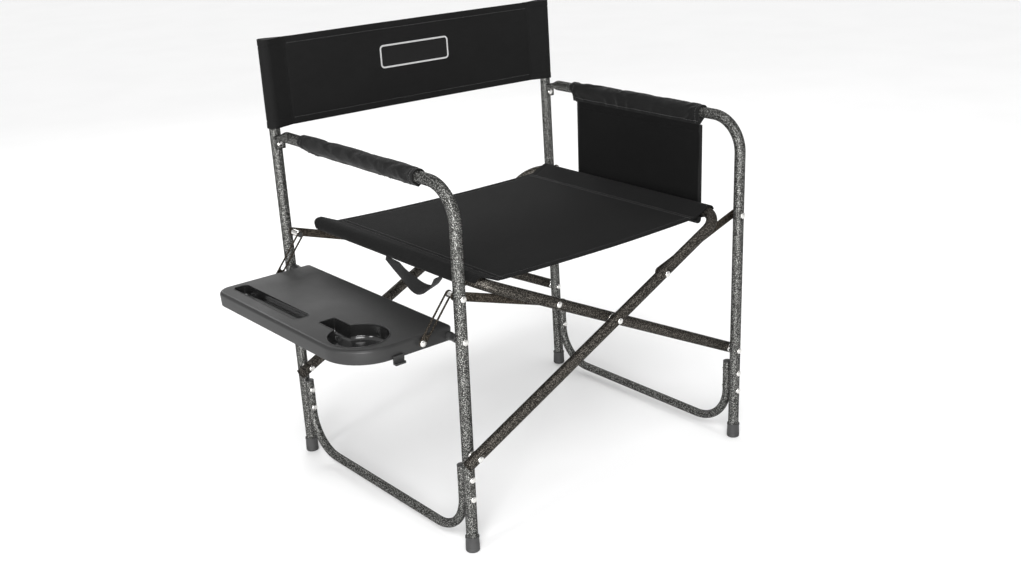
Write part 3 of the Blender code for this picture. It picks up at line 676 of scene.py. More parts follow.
def foot(side, end):
    """Rubber cup with a rolled lip and a grip rib, flat underneath."""
    node = f"{side}_{end}_foot"
    low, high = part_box(node)
    base = Vector(((low.x + high.x) / 2, (low.y + high.y) / 2, low.z))
    height = high.z - low.z
    profile = [(0, 0), (0, FOOT_R - 0.002), (0.0006, FOOT_R - 0.0007), (0.002, FOOT_R)]
    profile += [(0.006, FOOT_R), (0.0068, FOOT_R - 0.0006), (0.0076, FOOT_R)]
    profile += [(height * 0.7, FOOT_R - 0.0004), (height * 0.82, FOOT_R - 0.0008), (height * 0.88, FOOT_R)]
    profile += [(height - 0.0008, FOOT_R - 0.0001), (height, FOOT_R - 0.0008), (height, TUBE_R + 0.0003)]
    profile += [(0.003, TUBE_R + 0.0003), (0.003, 0)]
    stand_in(turned(f"{node}_cup", profile, base, Z, RUBBER), node)


def rivet(node, heads="both", collars=()):
    """A rivet in a CAD rivet's place: domes, a shank, and collars as (low y, high y, radius)."""
    low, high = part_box(node)
    x, z = (low.x + high.x) / 2, (low.z + high.z) / 2
    front = low.y + (HEAD_H if heads in ("both", "front") else 0)
    back = high.y - (HEAD_H * 0.7 if heads in ("both", "rear") else 0)
    shape = Shape()
    turn(shape, [(0, 0), (0, SHANK_R), (back - front, SHANK_R), (back - front, 0)], (x, front, z), Y, 20)
    if heads in ("both", "front"):
        dome_rivet(shape, Vector((x, front, z)), -Y)
    if heads in ("both", "rear"):
        dome_rivet(shape, Vector((x, back, z)), Y, HEAD_R * 0.9, HEAD_H * 0.7)
    for start_y, end_y, radius in collars:
        long, bevel = end_y - start_y, 0.0004
        profile = [(0, SHANK_R), (0, radius - bevel), (bevel, radius)]
        profile += [(long - bevel, radius), (long, radius - bevel), (long, SHANK_R)]
        turn(shape, profile, (x, start_y, z), Y, 24)
    stand_in(shape.piece(f"{node}_metal", [NICKEL]), node)


def pivot_rivets():
    """Every rivet that joins two pieces of the frame, the links or the table."""
    for side in SIDES:
        for end in ("front", "rear"):
            between_pivot(f"{side}_low_pivot_{end}")
        rivet(f"{side}_arm_rivet")
    for end in ("front", "rear"):
        between_pivot(f"centre_pivot_{end}")
        rivet(f"left_rail_link_rivet_{end}", end)
        rivet(f"right_rail_link_rivet_{end}", end)
        rivet(f"right_high_pivot_{end}")
        node = f"left_high_pivot_{end}"
        low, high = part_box(node)
        spacer = (FRONT_SPACER_Y, high.y) if end == "front" else (low.y, middle("left_rear_link").y - 0.003)
        rivet(node, end, [(*spacer, STEM_R)])
        rivet(f"left_hinge_{end}", end)
        rivet(f"{end}_stay_pin", end)


def between_pivot(node):
    """A pivot through two tubes that stand one stagger apart, with a spacer between them."""
    centre = middle(node).y - 0.0004  # the rear head is a little lower than the front one
    half = STAGGER / 2 - TUBE_R
    rivet(node, "both", [(centre - half, centre + half, SPACER_R)])


def crossed_frame(side):
    """U-shaped tube that carries the seat on its top."""
    hand = SIDES[side][0]
    y = RAIL_FRONTS[side]
    along = Vector((1, 0, SLOPE)).normalized()
    foot_x = -hand * (HALF_WIDTH + FRAME_TAIL * along.x)
    foot_z = LOW_Z - FRAME_TAIL * along.z
    corners = [(foot_x, y, foot_z), (hand * RAIL_X, y, RAIL_Z)]
    corners += [(x, y + DEPTH, z) for x, _, z in reversed(corners)]
    path = rounded(corners, BEND_RAIL, 20)
    made = tube(f"{side}_rail_tube", path, TUBE_R, (-SLOPE * hand, 0, 1), HAMMERED_DARK)
    stand_in(made, f"{side}_rail_frame")


def link(side, end):
    """Flat bar from a side frame's high pivot to a crossed frame, with its rivet's head."""
    node = f"{side}_{end}_link"
    hand = SIDES[side][0]
    low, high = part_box(node)
    thick, half_width = 0.003, 0.0075
    base = low.y if end == "front" else high.y - thick
    ends = (hand * HALF_WIDTH, LINK_Z), (hand * abs(LINK_X), LINK_END_Z)
    shape = Shape()
    slab(shape, lambda inset: stadium(*ends, half_width - inset), facing_front, base, base + thick, 0.0005)
    outward = Y if end == "front" else -Y
    face = base + thick if end == "front" else base
    dome_rivet(shape, Vector((ends[1][0], face, ends[1][1])), outward, HEAD_R * 0.95, HEAD_H * 0.8, 1)
    stand_in(shape.piece(f"{node}_bar", [BAR_COAT, NICKEL]), node)


def stay(end):
    """Flat arm with a long slot, and the eye and rivet at its top."""
    node = f"{end}_stay"
    low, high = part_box(node)
    pin = Vector((STAY_PIN.x, STAY_PIN.z))
    head = Vector((-HALF_WIDTH, LINK_Z))
    half_width, half_slot = 0.0065, 0.00375
    slot_start = pin + (head - pin).normalized() * 0.018
    shape = Shape()
    slab(shape, lambda inset: stadium(pin, head, half_width - inset), facing_front, low.y, high.y, 0.0004,
         hole=lambda inset: stadium(slot_start, head, half_slot - inset))
    outward = -Y if end == "front" else Y
    face = low.y if end == "front" else high.y
    stem = [(-0.0021, 0), (-0.0021, 0.0052), (-0.0016, 0.0056), (-0.0004, 0.0056), (0, 0.0052), (0, 0)]
    turn(shape, stem, (head.x, face, head.y), outward, 24, 1)
    dome_rivet(shape, Vector((head.x, face, head.y)), outward, 0.0036, 0.0014, 2)
    stand_in(shape.piece(f"{node}_bar", [BAR_COAT, PLUG, NICKEL]), node)


# ---------------------------------------------------------------- side table
CUP = (TABLE_LOW.x + 0.062, TABLE_LOW.y + 0.0705)
CUP_R = 0.0495
NOTCH_HALF = 0.0155
NOTCH_REAR = TABLE_LOW.y + 0.164
SLOT_LOW = (TABLE_LOW.x + 0.0265, TABLE_LOW.y + 0.202)
SLOT_HIGH = (TABLE_LOW.x + 0.0555, TABLE_LOW.y + 0.414)
SLOT_CORNER = 0.009
TABLE_CORNERS = (0.075, 0.008, 0.008, 0.028)  # radii, from the outer front corner round to the outer rear
SKIN = 0.003
TRAY_DEPTH = 0.025
TRAY_EDGE = 0.0055
DRAFT = 0.0012
CUP_DEPTH = 0.0262
SLOT_DEPTH = 0.0185
RECESS_WALL = 0.0016
RIB_HALF = 0.0008
RIB_DEPTH = 0.016
CROSS_RIBS_Y = [TABLE_LOW.y + 0.181 + 0.07 * i for i in range(4)]
CROSS_RIBS_START = SLOT_HIGH[0] + 0.0035
LONG_RIBS_X = [TABLE_HIGH.x - 0.032 - 0.042 * i for i in range(2)]
MATTE, SATIN, GLOSS = 0, 1, 2  # places in TABLE_LOOK


def table_outline(inset):
    """The table's edge from above: a wide curve at the outer front corner, smaller ones elsewhere."""
    return rounded_box(TABLE_LOW, TABLE_HIGH, TABLE_CORNERS, -inset, (24, 8, 8, 14))


def keyhole(grown, corner=0.003):
    """Outline of the cup joined to the notch for a mug's handle."""
    radius = CUP_R + grown
    half = NOTCH_HALF + grown
    corner += max(grown, 0)
    inward, rear = half - corner, NOTCH_REAR + grown - corner
    opening = math.degrees(math.asin(half / radius))
    points = arc(CUP, radius, 90 + opening, 450 - opening, 72)
    points += arc((CUP[0] + inward, rear), corner, 0, 90, 6)
    return points + arc((CUP[0] - inward, rear), corner, 90, 180, 6)


def slot_outline(grown):
    """The slot from above: a long opening with rounded corners."""
    return rounded_box(SLOT_LOW, SLOT_HIGH, [SLOT_CORNER] * 4, grown, [10] * 4)


def column(shape, outline, low, high, mark=0):
    """A straight solid between two heights."""
    rows = [shape.row((u, v, z) for u, v in outline) for z in (low, high)]
    shape.bridge(*rows, mark)
    for row in rows:
        shape.face(row, mark)


def cut_opening(tray, outline, low, high):
    shape = Shape()
    column(shape, outline, low, high)
    carve(tray, shape.piece("cutter", TABLE_LOOK))


def bead(shape, outline, z, radius):
    """A small rounded bead around an opening's lip."""
    path = [Vector((u, v, z)) for u, v in outline]
    sweep(shape, path, Z, radius, sides=12, mark=SATIN, closed=True)


def rounded_foot(shape, outline_of, grown, base, radius):
    """Rings that come down a wall and turn in over a rounded foot to a floor at base."""
    rows = []
    for t in [math.pi / 2 * i / 6 for i in range(7)]:
        z = base + radius * (1 - math.sin(t))
        rows.append(shape.row((u, v, z) for u, v in outline_of(grown - radius * (1 - math.cos(t)))))
    return rows


def trough(shape, outline_of, top, depth, fillet):
    """A moulded recess: glossy inside, with a satin outer skin."""
    rows = [shape.row((u, v, top - 0.0004) for u, v in outline_of(0))]
    rows += rounded_foot(shape, outline_of, -DRAFT, top - depth, fillet)
    shape.rings(rows, GLOSS)
    shape.face(rows[-1], GLOSS)
    skin = [shape.row((u, v, top - 0.001) for u, v in outline_of(RECESS_WALL))]
    skin += rounded_foot(shape, outline_of, RECESS_WALL, top - depth - RECESS_WALL, 0.0035)
    shape.bridge(rows[0], skin[0], GLOSS)
    shape.rings(skin, SATIN)
    shape.face(skin[-1], SATIN)


def table_top():
    """Moulded tray with a rounded rim, a glossy cup with a handle notch, a slot, and ribs beneath."""
    top, low = TABLE_HIGH.z, TABLE_HIGH.z - TRAY_DEPTH
    shape = Shape()
    levels = [(DRAFT + 0.0008, low), (DRAFT, low + 0.0008), (0, top - TRAY_EDGE)]
    for t in [math.pi / 2 * i / 8 for i in range(1, 9)]:
        levels.append((TRAY_EDGE * (1 - math.cos(t)), top - TRAY_EDGE + TRAY_EDGE * math.sin(t)))
    rows = [shape.row((u, v, z) for u, v in table_outline(inset)) for inset, z in levels]
    shape.rings(rows, SATIN)
    flat = shape.row((u, v, top) for u, v in table_outline(TRAY_EDGE + 0.0006))
    shape.bridge(rows[-1], flat, MATTE)
    shape.face(flat, MATTE)
    wall = SKIN + DRAFT
    levels = ((wall, low), (wall, top - SKIN - 0.003), (wall + 0.003, top - SKIN))
    under = [shape.row((u, v, z) for u, v in table_outline(inset)) for inset, z in levels]
    shape.bridge(rows[0], under[0], SATIN)
    shape.rings(under, SATIN)
    shape.face(under[-1], SATIN)
    tray = shape.piece("table_tray", TABLE_LOOK, 30)
    for outline in (keyhole(0), slot_outline(0)):
        cut_opening(tray, outline, low, top + 0.01)
    stand_in(tray, "table_top")

    recess = Shape()
    trough(recess, keyhole, top, CUP_DEPTH, 0.009)
    trough(recess, slot_outline, top, SLOT_DEPTH, 0.005)
    bead(recess, keyhole(0.0004), top - 0.0002, 0.0011)
    bead(recess, slot_outline(0.0004), top - 0.0002, 0.0009)
    extra_piece(recess.piece("table_cup_and_slot", TABLE_LOOK, 35), "side_table")

    ribs = Shape()
    bars = [(CROSS_RIBS_START, y - RIB_HALF, TABLE_HIGH.x - wall, y + RIB_HALF) for y in CROSS_RIBS_Y]
    bars += [(x - RIB_HALF, TABLE_LOW.y + SKIN, x + RIB_HALF, TABLE_HIGH.y - SKIN) for x in LONG_RIBS_X]
    for left, front, right, rear in bars:
        outline = ((left, front), (right, front), (right, rear), (left, rear))
        column(ribs, outline, top - RIB_DEPTH, top - SKIN + 0.0002, SATIN)
    extra_piece(ribs.piece("table_under_ribs", TABLE_LOOK), "side_table")


def table_fittings():
    """Hinge ears and the catch under the front rim."""
    for end in ("front", "rear"):
        node = f"table_boss_{end}"
        low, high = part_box(node)
        radius, bore, bevel, groove = 0.007, 0.0036, 0.0006, 0.0007
        length = high.y - low.y
        profile = [(0, bore), (0, radius - bevel), (bevel, radius), (length * 0.3, radius)]
        profile += [(length * 0.36, radius - groove), (length * 0.64, radius - groove)]
        profile += [(length * 0.7, radius), (length - bevel, radius), (length, radius - bevel)]
        profile += [(length, bore)]
        place = (-HALF_WIDTH, low.y, HINGE_Z)
        stand_in(turned(f"{node}_ear", profile, place, Y, TABLE_RIM, ring_shaped=True), node)
    low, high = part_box("table_clip")
    shape = Shape()
    depth, height = high.y - low.y, high.z - low.z
    hook = [(0, 0), (depth, 0), (depth, 0.003), (0.0028, 0.003), (0.0022, 0.0045), (0.0028, 0.0062)]
    hook += [(0.0035, height), (0, height)]
    bevel = 0.0005
    heart = Vector((depth * 0.3, height * 0.4))
    rows = []
    for x, inset in ((low.x, bevel), (low.x + bevel, 0), (high.x - bevel, 0), (high.x, bevel)):
        ratio = 1 - inset / depth * 2
        line = [heart + (Vector(p) - heart) * ratio for p in hook]
        rows.append(shape.row((x, high.y - v, low.z + w) for v, w in line))
    shape.rings(rows)
    shape.face(rows[0])
    shape.face(rows[-1])
    stand_in(shape.piece("table_catch", [TABLE_RIM]), "table_clip")


# ---------------------------------------------------------------- cloth
def spread(low, high, step, lines=(), reach=0.0016):
    """Values from low to high about a step apart, and closer together beside each line."""
    count = max(int(round((high - low) / step)), 1)
    close = [line + reach * share for line in lines for share in (-1, -0.5, 0, 0.5, 1)]
    close = [value for value in close if low < value < high]
    even = [low + (high - low) * i / count for i in range(count + 1)]
    kept = [value for value in even if all(abs(value - other) > reach * 0.5 for other in close)]
    return sorted({low, high, *kept, *close})


def close_to(value, lines, width):
    """1 on a line, falling smoothly to 0 beside it."""
    return sum(math.exp(-((value - line) / width) ** 2) for line in lines)


class Cloth:
    """A sheet that follows place(s, t), for s metres across and t metres along, with hems and sewn lines."""

    def __init__(self, place, across, along, thick=CLOTH_T, hems=(), crease=0.0005, seed=0.0):
        self.place, self.thick, self.crease, self.seed = place, thick, crease, seed
        self.hems = hems  # (the axis, 0 for s or 1 for t, the sewn line, the edge's direction)
        self.seams = [[line for axis, line, _ in hems if axis == k] for k in (0, 1)]
        self.across = across(self.seams[0])
        self.along = along(self.seams[1])

    def normal(self, s, t, step=0.0004):
        a = self.place(s + step, t) - self.place(s - step, t)
        b = self.place(s, t + step) - self.place(s, t - step)
        return a.cross(b).normalized()

    def spot(self, s, t):
        """Where the cloth's middle is: its shape, with small puckers beside the sewn lines."""
        up = self.normal(s, t)
        pull = 0
        for axis, lines in enumerate(self.seams):
            value = (s, t)[axis]
            pull += sum(math.exp(-abs(value - line) / 0.007) for line in lines)
        ripple = noise.noise(Vector((s * 95, t * 95, self.seed)))
        return self.place(s, t) + up * self.crease * min(pull, 1) * ripple, up

    def thickness(self, s, t):
        folded = 1.0
        for axis, line, edge in self.hems:
            folded += 0.55 * min(max(((s, t)[axis] - line) * edge / 0.001 + 0.5, 0), 1)
        groove = max(close_to(s, self.seams[0], 0.0009), close_to(t, self.seams[1], 0.0009))
        return self.thick * (min(folded, 1.55) - 0.75 * groove) / 2

    def fill(self, shape, mark=0):
        """Both faces of the sheet and its rim. Returns each point's (s, t), in the shape's order."""
        sides = ([], [])
        where = []
        for t in self.along:
            spots = [self.spot(s, t) for s in self.across]
            for side, direction in zip(sides, (1, -1)):
                side.append(shape.row(p + up * direction * self.thickness(s, t)
                                      for (p, up), s in zip(spots, self.across)))
                where += [(s, t) for s in self.across]
        for side in sides:
            for first, second in zip(side, side[1:]):
                shape.bridge(first, second, mark, closed=False)
        top, bottom = sides
        shape.bridge(top[0], bottom[0], mark, closed=False)
        shape.bridge(top[-1], bottom[-1], mark, closed=False)
        for i in (0, -1):
            shape.bridge([row[i] for row in top], [row[i] for row in bottom], mark, closed=False)
        return where

    def sew(self, shape, side, mark, begin, end, s=None, t=None, step=0.004):
        """A row of stitches along one s or one t, on one side of the sheet."""
        count = int(abs(end - begin) / step)
        path, normals = [], []
        for i in range(count + 1):
            other = begin + (end - begin) * i / count
            here = (s, other) if t is None else (other, t)
            p, up = self.spot(*here)
            path.append(p + up * side * self.thickness(*here))
            normals.append(up * side)
        stitches(shape, path, normals, mark)

    def made(self, name, materials, rows, extra=None):
        """The finished piece. rows are the sewn rows, as (side, begin, end, s, t)."""
        shape = Shape()
        where = self.fill(shape)
        for side, begin, end, s, t in rows:
            self.sew(shape, side, 1, begin, end, s, t)
        if extra:
            extra(shape)
        return threads(shape.piece(name, materials, 50), where)


def threads(thing, where):
    """Store where each point lies on its flat cloth, in metres, for the weave.

    where may end early, because stitches and labels come last and need no place.
    """
    where = where + [(0.0, 0.0)] * (len(thing.data.vertices) - len(where))
    held = thing.data.attributes.new("weave", "FLOAT_VECTOR", "POINT")
    held.data.foreach_set("vector", [c for s, t in where for c in (s, t, 0.0)])
    return thing


def teardrop(radius, reach, drop, gap, steps=30):
    """A cloth's path round a tube, as (inward, up): from the seam beside it, over, round and back beneath."""
    toward = math.atan2(-drop, reach)
    opening = math.acos(radius / math.hypot(reach, drop))
    around = [toward + opening + (2 * math.pi - 2 * opening) * i / steps for i in range(steps + 1)]
    path = [Vector((reach, -drop))]
    path += [Vector((radius * math.cos(a), radius * math.sin(a))) for a in around]
    return path + [Vector((reach, -drop - gap)), Vector((reach + HEM, -drop - gap * 1.05))]


def along_path(points, lengths, distance):
    """Point of a path at a distance along it, going straight on past its ends."""
    low, high = 0, len(points) - 2
    while low < high:
        centre = (low + high + 1) // 2
        if lengths[centre] <= distance:
            low = centre
        else:
            high = centre - 1
    span = lengths[low + 1] - lengths[low]
    return points[low] + (points[low + 1] - points[low]) * ((distance - lengths[low]) / span)


def eased(share):
    """0 to 1, starting and ending gently."""
    share = min(max(share, 0), 1)
    return share * share * (3 - 2 * share)


def flap_share(value, full):
    """How much of a sleeve's wrap is left near the bend of its tube: a flap, then all of it."""
    return 0.22 + 0.78 * eased((value - full + 0.006) / 0.006)


def seat():
    """Seat cloth with a sewn sleeve round each rail, cut back where the rails bend down at the front."""
    drop, sag, gap = 0.003, 0.004, 0.0019
    front, length = 0.005, 0.442
    sleeves = {-1: 0.046, 1: 0.0215}  # y at which each side's wrap is whole
    flaps = [0.0405, 0.0170]  # t of the rows that follow the flaps' cut edges
    corners = {-1: 0.030, 1: 0.011}  # how much further back the cloth reaches at each side
    edge = RAIL_X - SLEEVE_REACH
    flat_part = [Vector((edge * i / 40, RAIL_Z - drop - sag * (1 - (i / 40) ** 2))) for i in range(40)]
    loop = [Vector((RAIL_X - u, RAIL_Z + v)) for u, v in teardrop(SLEEVE_R, SLEEVE_REACH, drop, gap)]
    path = flat_part + loop
    lengths = distances(path)
    seam, top, reach = lengths[40], lengths[41], lengths[-1]

    def place(s, t):
        hand = 1 if s > 0 else -1
        far = abs(s)
        if far > top:
            far = top + (far - top) * flap_share(front + t, sleeves[hand])
        x, z = along_path(path, lengths, far)
        relaxed = 0.0012 * noise.noise(Vector((s * 5, t * 6, 2.0)))
        share = (1 + min(max(s / seam, -1), 1)) / 2
        further = (corners[-1] * (1 - share) + corners[1] * share) * eased((t - 0.15) / (length - 0.15))
        return Vector((hand * x, front + t + further, z + relaxed * max(1 - far / seam, 0)))

    lines = [-seam + 0.004, seam - 0.004]
    hems = [(1, HEM, -1), (1, length - HEM, 1), (0, lines[0], 0), (0, lines[1], 0)]
    cloth = Cloth(place, lambda close: spread(-reach, reach, 0.0028, close),
                  lambda close: spread(0, length, 0.0055, close + flaps), hems=hems, crease=0.0006)
    rows = [(1, 0.002, length - 0.002, line * share, None) for share in (1, 0.965) for line in lines]
    rows += [(face, *lines, None, line) for face in (1, -1) for line in (HEM, length - HEM)]
    made = cloth.made("seat_cloth", [OXFORD, THREAD], rows)
    nodes = ("left_seat_panel", "right_seat_panel", "left_seat_sleeve", "right_seat_sleeve")
    stand_in(made, *nodes, rides=False)
    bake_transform(made)


def label_patch(shape, cloth):
    """One half of a plain woven label at the middle of the back: a pale border round a dark field."""
    wide, tall, centre, border, corner = 0.078, 0.022, 0.094, 0.0032, 0.008

    def line(inset):
        points = arc((wide - corner, tall - corner), corner - inset, 90, 0, 8)
        points = [(0, tall - inset)] + points + arc((wide - corner, corner - tall), corner - inset, 0, -90, 8)
        return points + [(0, inset - tall)]

    def lifted(u, v, lift):
        p, up = cloth.spot(max(u, 0), centre + v)
        outward = up if up.y < 0 else -up
        return p + outward * (CLOTH_T / 2 + lift)

    levels = ((0, -0.0002, 2), (0.0002, 0.0005, 2), (border, 0.0005, 2), (border + 0.0003, 0.00035, 3))
    rows = [shape.row(lifted(u, v, lift) for u, v in line(inset)) for inset, lift, _ in levels]
    for (first, second), (_, _, mark) in zip(zip(rows, rows[1:]), levels[1:]):
        shape.bridge(first, second, mark, closed=False)
    field = rows[-1]
    half = len(field) // 2
    for i in range(half - 1):
        shape.face((field[i], field[i + 1], field[-2 - i], field[-1 - i]), 3)
    back = shape.row(lifted(u, v, -0.0003) for u, v in line(0))
    shape.bridge(back, rows[0], 2, closed=False)
    for i in range(half - 1):
        shape.face((back[i], back[i + 1], back[-2 - i], back[-1 - i]), 3)


def back_half(side):
    """Half of the back cloth with its sleeve round a post, its cap, and its half of the label."""
    hand = SIDES[side][0]
    low, tall = 0.640, 0.158
    bow, gap = 0.0035, 0.0019
    edge = HALF_WIDTH - SLEEVE_REACH
    flat_part = [Vector((edge * i / 40, 0)) for i in range(40)]
    loop = [Vector((HALF_WIDTH - u, v)) for u, v in teardrop(SLEEVE_R, SLEEVE_REACH, 0, gap)]
    path = flat_part + loop
    lengths = distances(path)
    seam, reach = lengths[40], lengths[-1]

    def centre_y(x, z):
        return post_y(z) - STAGGER * (x + HALF_WIDTH) / (2 * HALF_WIDTH)

    def place(s, t):
        x, forward = along_path(path, lengths, s)
        slack = bow * max(1 - (x / edge) ** 2, 0) if s < seam else 0
        relaxed = 0.0014 * noise.noise(Vector((hand * s * 7, t * 9, 5.0)))
        relaxed = relaxed * max(1 - s / seam, 0) * min(s / 0.04, 1)
        return Vector((hand * x, centre_y(hand * x, low + t) - forward + slack + relaxed, low + t))

    line = seam - 0.004
    hems = [(1, HEM, -1), (1, tall - HEM, 1), (0, line, 0)]
    cloth = Cloth(place, lambda close: spread(0, reach, 0.0028, close),
                  lambda close: spread(0, tall, 0.005, close), hems=hems, crease=0.0006, seed=3.0 + hand)
    front = -hand
    rows = [(front, 0.002, tall - 0.002, along, None) for along in (line, line - 0.006)]
    rows += [(face, 0.0, line, None, across) for across in (HEM, tall - HEM) for face in (1, -1)]

    def extra(shape):
        """The label, and the cloth cap that closes the sleeve over the post."""
        label_patch(shape, cloth)
        wrap = teardrop(SLEEVE_R - 0.0002, SLEEVE_REACH, 0, gap)[:-1]
        closing = [Vector((HALF_WIDTH - u, v)) for u, v in wrap]
        centre = Vector((HALF_WIDTH - 0.006, 0))
        top = low + tall - 0.0022
        y = centre_y(hand * HALF_WIDTH, top)
        rings = []
        for share, height in ((1.0, 0), (1.0, 0.0012), (0.72, 0.0018)):
            ring = [centre + (p - centre) * share for p in closing]
            rings.append(shape.row((hand * x, y - v, top + height) for x, v in ring))
        shape.rings(rings)
        shape.face(rings[0])
        shape.face(rings[-1])

    made = cloth.made(f"{side}_back_cloth", [OXFORD, THREAD, LABEL, LABEL_FIELD], rows, extra)
    stand_in(made, f"{side}_back_panel", f"{side}_back_sleeve", rides=False)
    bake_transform(made)


# ---------------------------------------------------------------- padded arms
PAD_SIDES = 72
PAD_R = 0.0134
PAD_SWELL = 0.0014
PAD_TIPS = {"left": (math.radians(270), 0.0168), "right": (math.radians(250.9), 0.0285)}  # sewn edge beneath
PAD_THINNING = {"left": 0.0022, "right": 0.004}  # underneath, toward the rear end


def swell(rows, pinned, frames=20):
    """Blow a skin's rows of points up with cloth, its pinned points held, and cap how far each may move."""
    shape = Shape()
    made = [shape.row(row) for row in rows]
    shape.rings(made)
    skin = shape.piece("pad_skin", [PAD_CLOTH], closed=False)
    held = skin.vertex_groups.new(name="held")
    held.add([made[i][k] for i, k in pinned], 1.0, "REPLACE")
    cloth = skin.modifiers.new("swell", "CLOTH")
    settings = cloth.settings
    settings.vertex_group_mass = "held"
    settings.use_pressure = True
    settings.uniform_pressure_force = 4.0
    settings.effector_weights.gravity = 0
    settings.shrink_min = -0.05
    settings.quality = 6
    cloth.collision_settings.use_self_collision = False
    scene = bpy.context.scene
    for number in range(1, frames + 1):
        scene.frame_set(number)
    seen = skin.evaluated_get(bpy.context.evaluated_depsgraph_get())
    moved = [v.co.copy() for v in seen.data.vertices]
    scene.frame_set(1)
    bpy.data.objects.remove(skin)
    return [[capped(spot, moved[index]) for spot, index in zip(row, indices)]
            for row, indices in zip(rows, made)]


def capped(before, after):
    """A moved point, brought back so that it is never further than the pad may swell."""
    step = after - before
    if step.length < 1e-9:
        return after
    return before + step * min(1, PAD_SWELL * math.tanh(step.length / PAD_SWELL) / step.length)


def arm_pad(side):
    """Foam pad in a cloth sleeve round an armrest, gathered to a cuff at each end and sewn along beneath."""
    node = f"{side}_arm_pad"
    low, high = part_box(node)
    x = (low.x + high.x) / 2
    length = high.y - low.y
    inner = TUBE_R + 0.0009
    cuff = 0.0085
    heading, reach = PAD_TIPS[side]
    opening = math.acos(PAD_R / reach)
    stations = spread(0, length, 0.0034, [cuff, length - cuff], 0.002)
    angles = [2 * math.pi * k / PAD_SIDES for k in range(PAD_SIDES)]
    below = round(heading / (2 * math.pi) * PAD_SIDES) % PAD_SIDES

    def radius(angle, along):
        end = min(along, length - along)
        off = abs((angle - heading + math.pi) % (2 * math.pi) - math.pi)
        body = PAD_R / math.cos(opening - off) if off < opening else PAD_R
        body = min(body, reach - 0.0006)
        lower = max(-math.sin(angle), 0)
        taper = lower * PAD_THINNING[side] * eased(1 - (length - along) / 0.034)
        groove = 0.0007 * math.exp(-((end - cuff) / 0.0012) ** 2)
        spot = Vector((math.cos(angle) * 1.4, math.sin(angle) * 1.4, along * 38 + x * 9))
        rough = 0.0008 * noise.noise(spot)
        return body - taper - groove + rough * eased(end / 0.02)

    def outline(of, along):
        """A ring of the pad. Its ends slant, shorter beneath."""
        near_ends = math.exp(-along / 0.012) - 3 * math.exp((along - length) / 0.012)
        row = []
        for a in angles:
            slant = 0.002 * max(-math.sin(a), 0) * near_ends
            r = of(a, along)
            row.append(Vector((x + r * math.cos(a), low.y + along + slant, ARM_Z + r * math.sin(a))))
        return row

    def outward(spot):
        return Vector((spot.x - x, 0, spot.z - ARM_Z)).normalized()

    rows = [outline(radius, along) for along in stations]
    pinned = [(i, k) for i, along in enumerate(stations) for k in range(PAD_SIDES)
              if min(along, length - along) < cuff + 0.001 or abs(k - below) < 2]
    rows = swell(rows, pinned)
    shape = Shape()
    ends = [outline(lambda angle, station: inner, along) for along in (0.0004, length - 0.0004)]
    lips = [[p.lerp(q, 0.4) - Y * 0.0006 * way for p, q in zip(row, ring)]
            for row, ring, way in ((rows[0], ends[0], 1), (rows[-1], ends[1], -1))]
    made = [shape.row(row) for row in [ends[0], lips[0], *rows, lips[1], ends[1]]]
    shape.rings(made)
    shape.bridge(made[-1], made[0])
    where = [(0.014 * math.atan2(p.x - x, ARM_Z - p.z), p.y) for p in shape.points]
    for beside in (3, -3):
        k = (below + beside) % PAD_SIDES
        up = Vector((math.cos(angles[k]), 0, math.sin(angles[k])))
        stitches(shape, [row[k] + up * 0.0001 for row in rows], [up] * len(rows), 1)
    for along in (cuff, length - cuff):
        i = min(range(len(stations)), key=lambda n: abs(stations[n] - along))
        ring = [p + outward(p) * 0.0001 for p in rows[i]]
        ring.append(ring[0])
        stitches(shape, ring, [outward(p) for p in ring], 1)
    piece = threads(shape.piece(f"{node}_sleeve", [PAD_CLOTH, THREAD], 60), where)
    stand_in(piece, node)


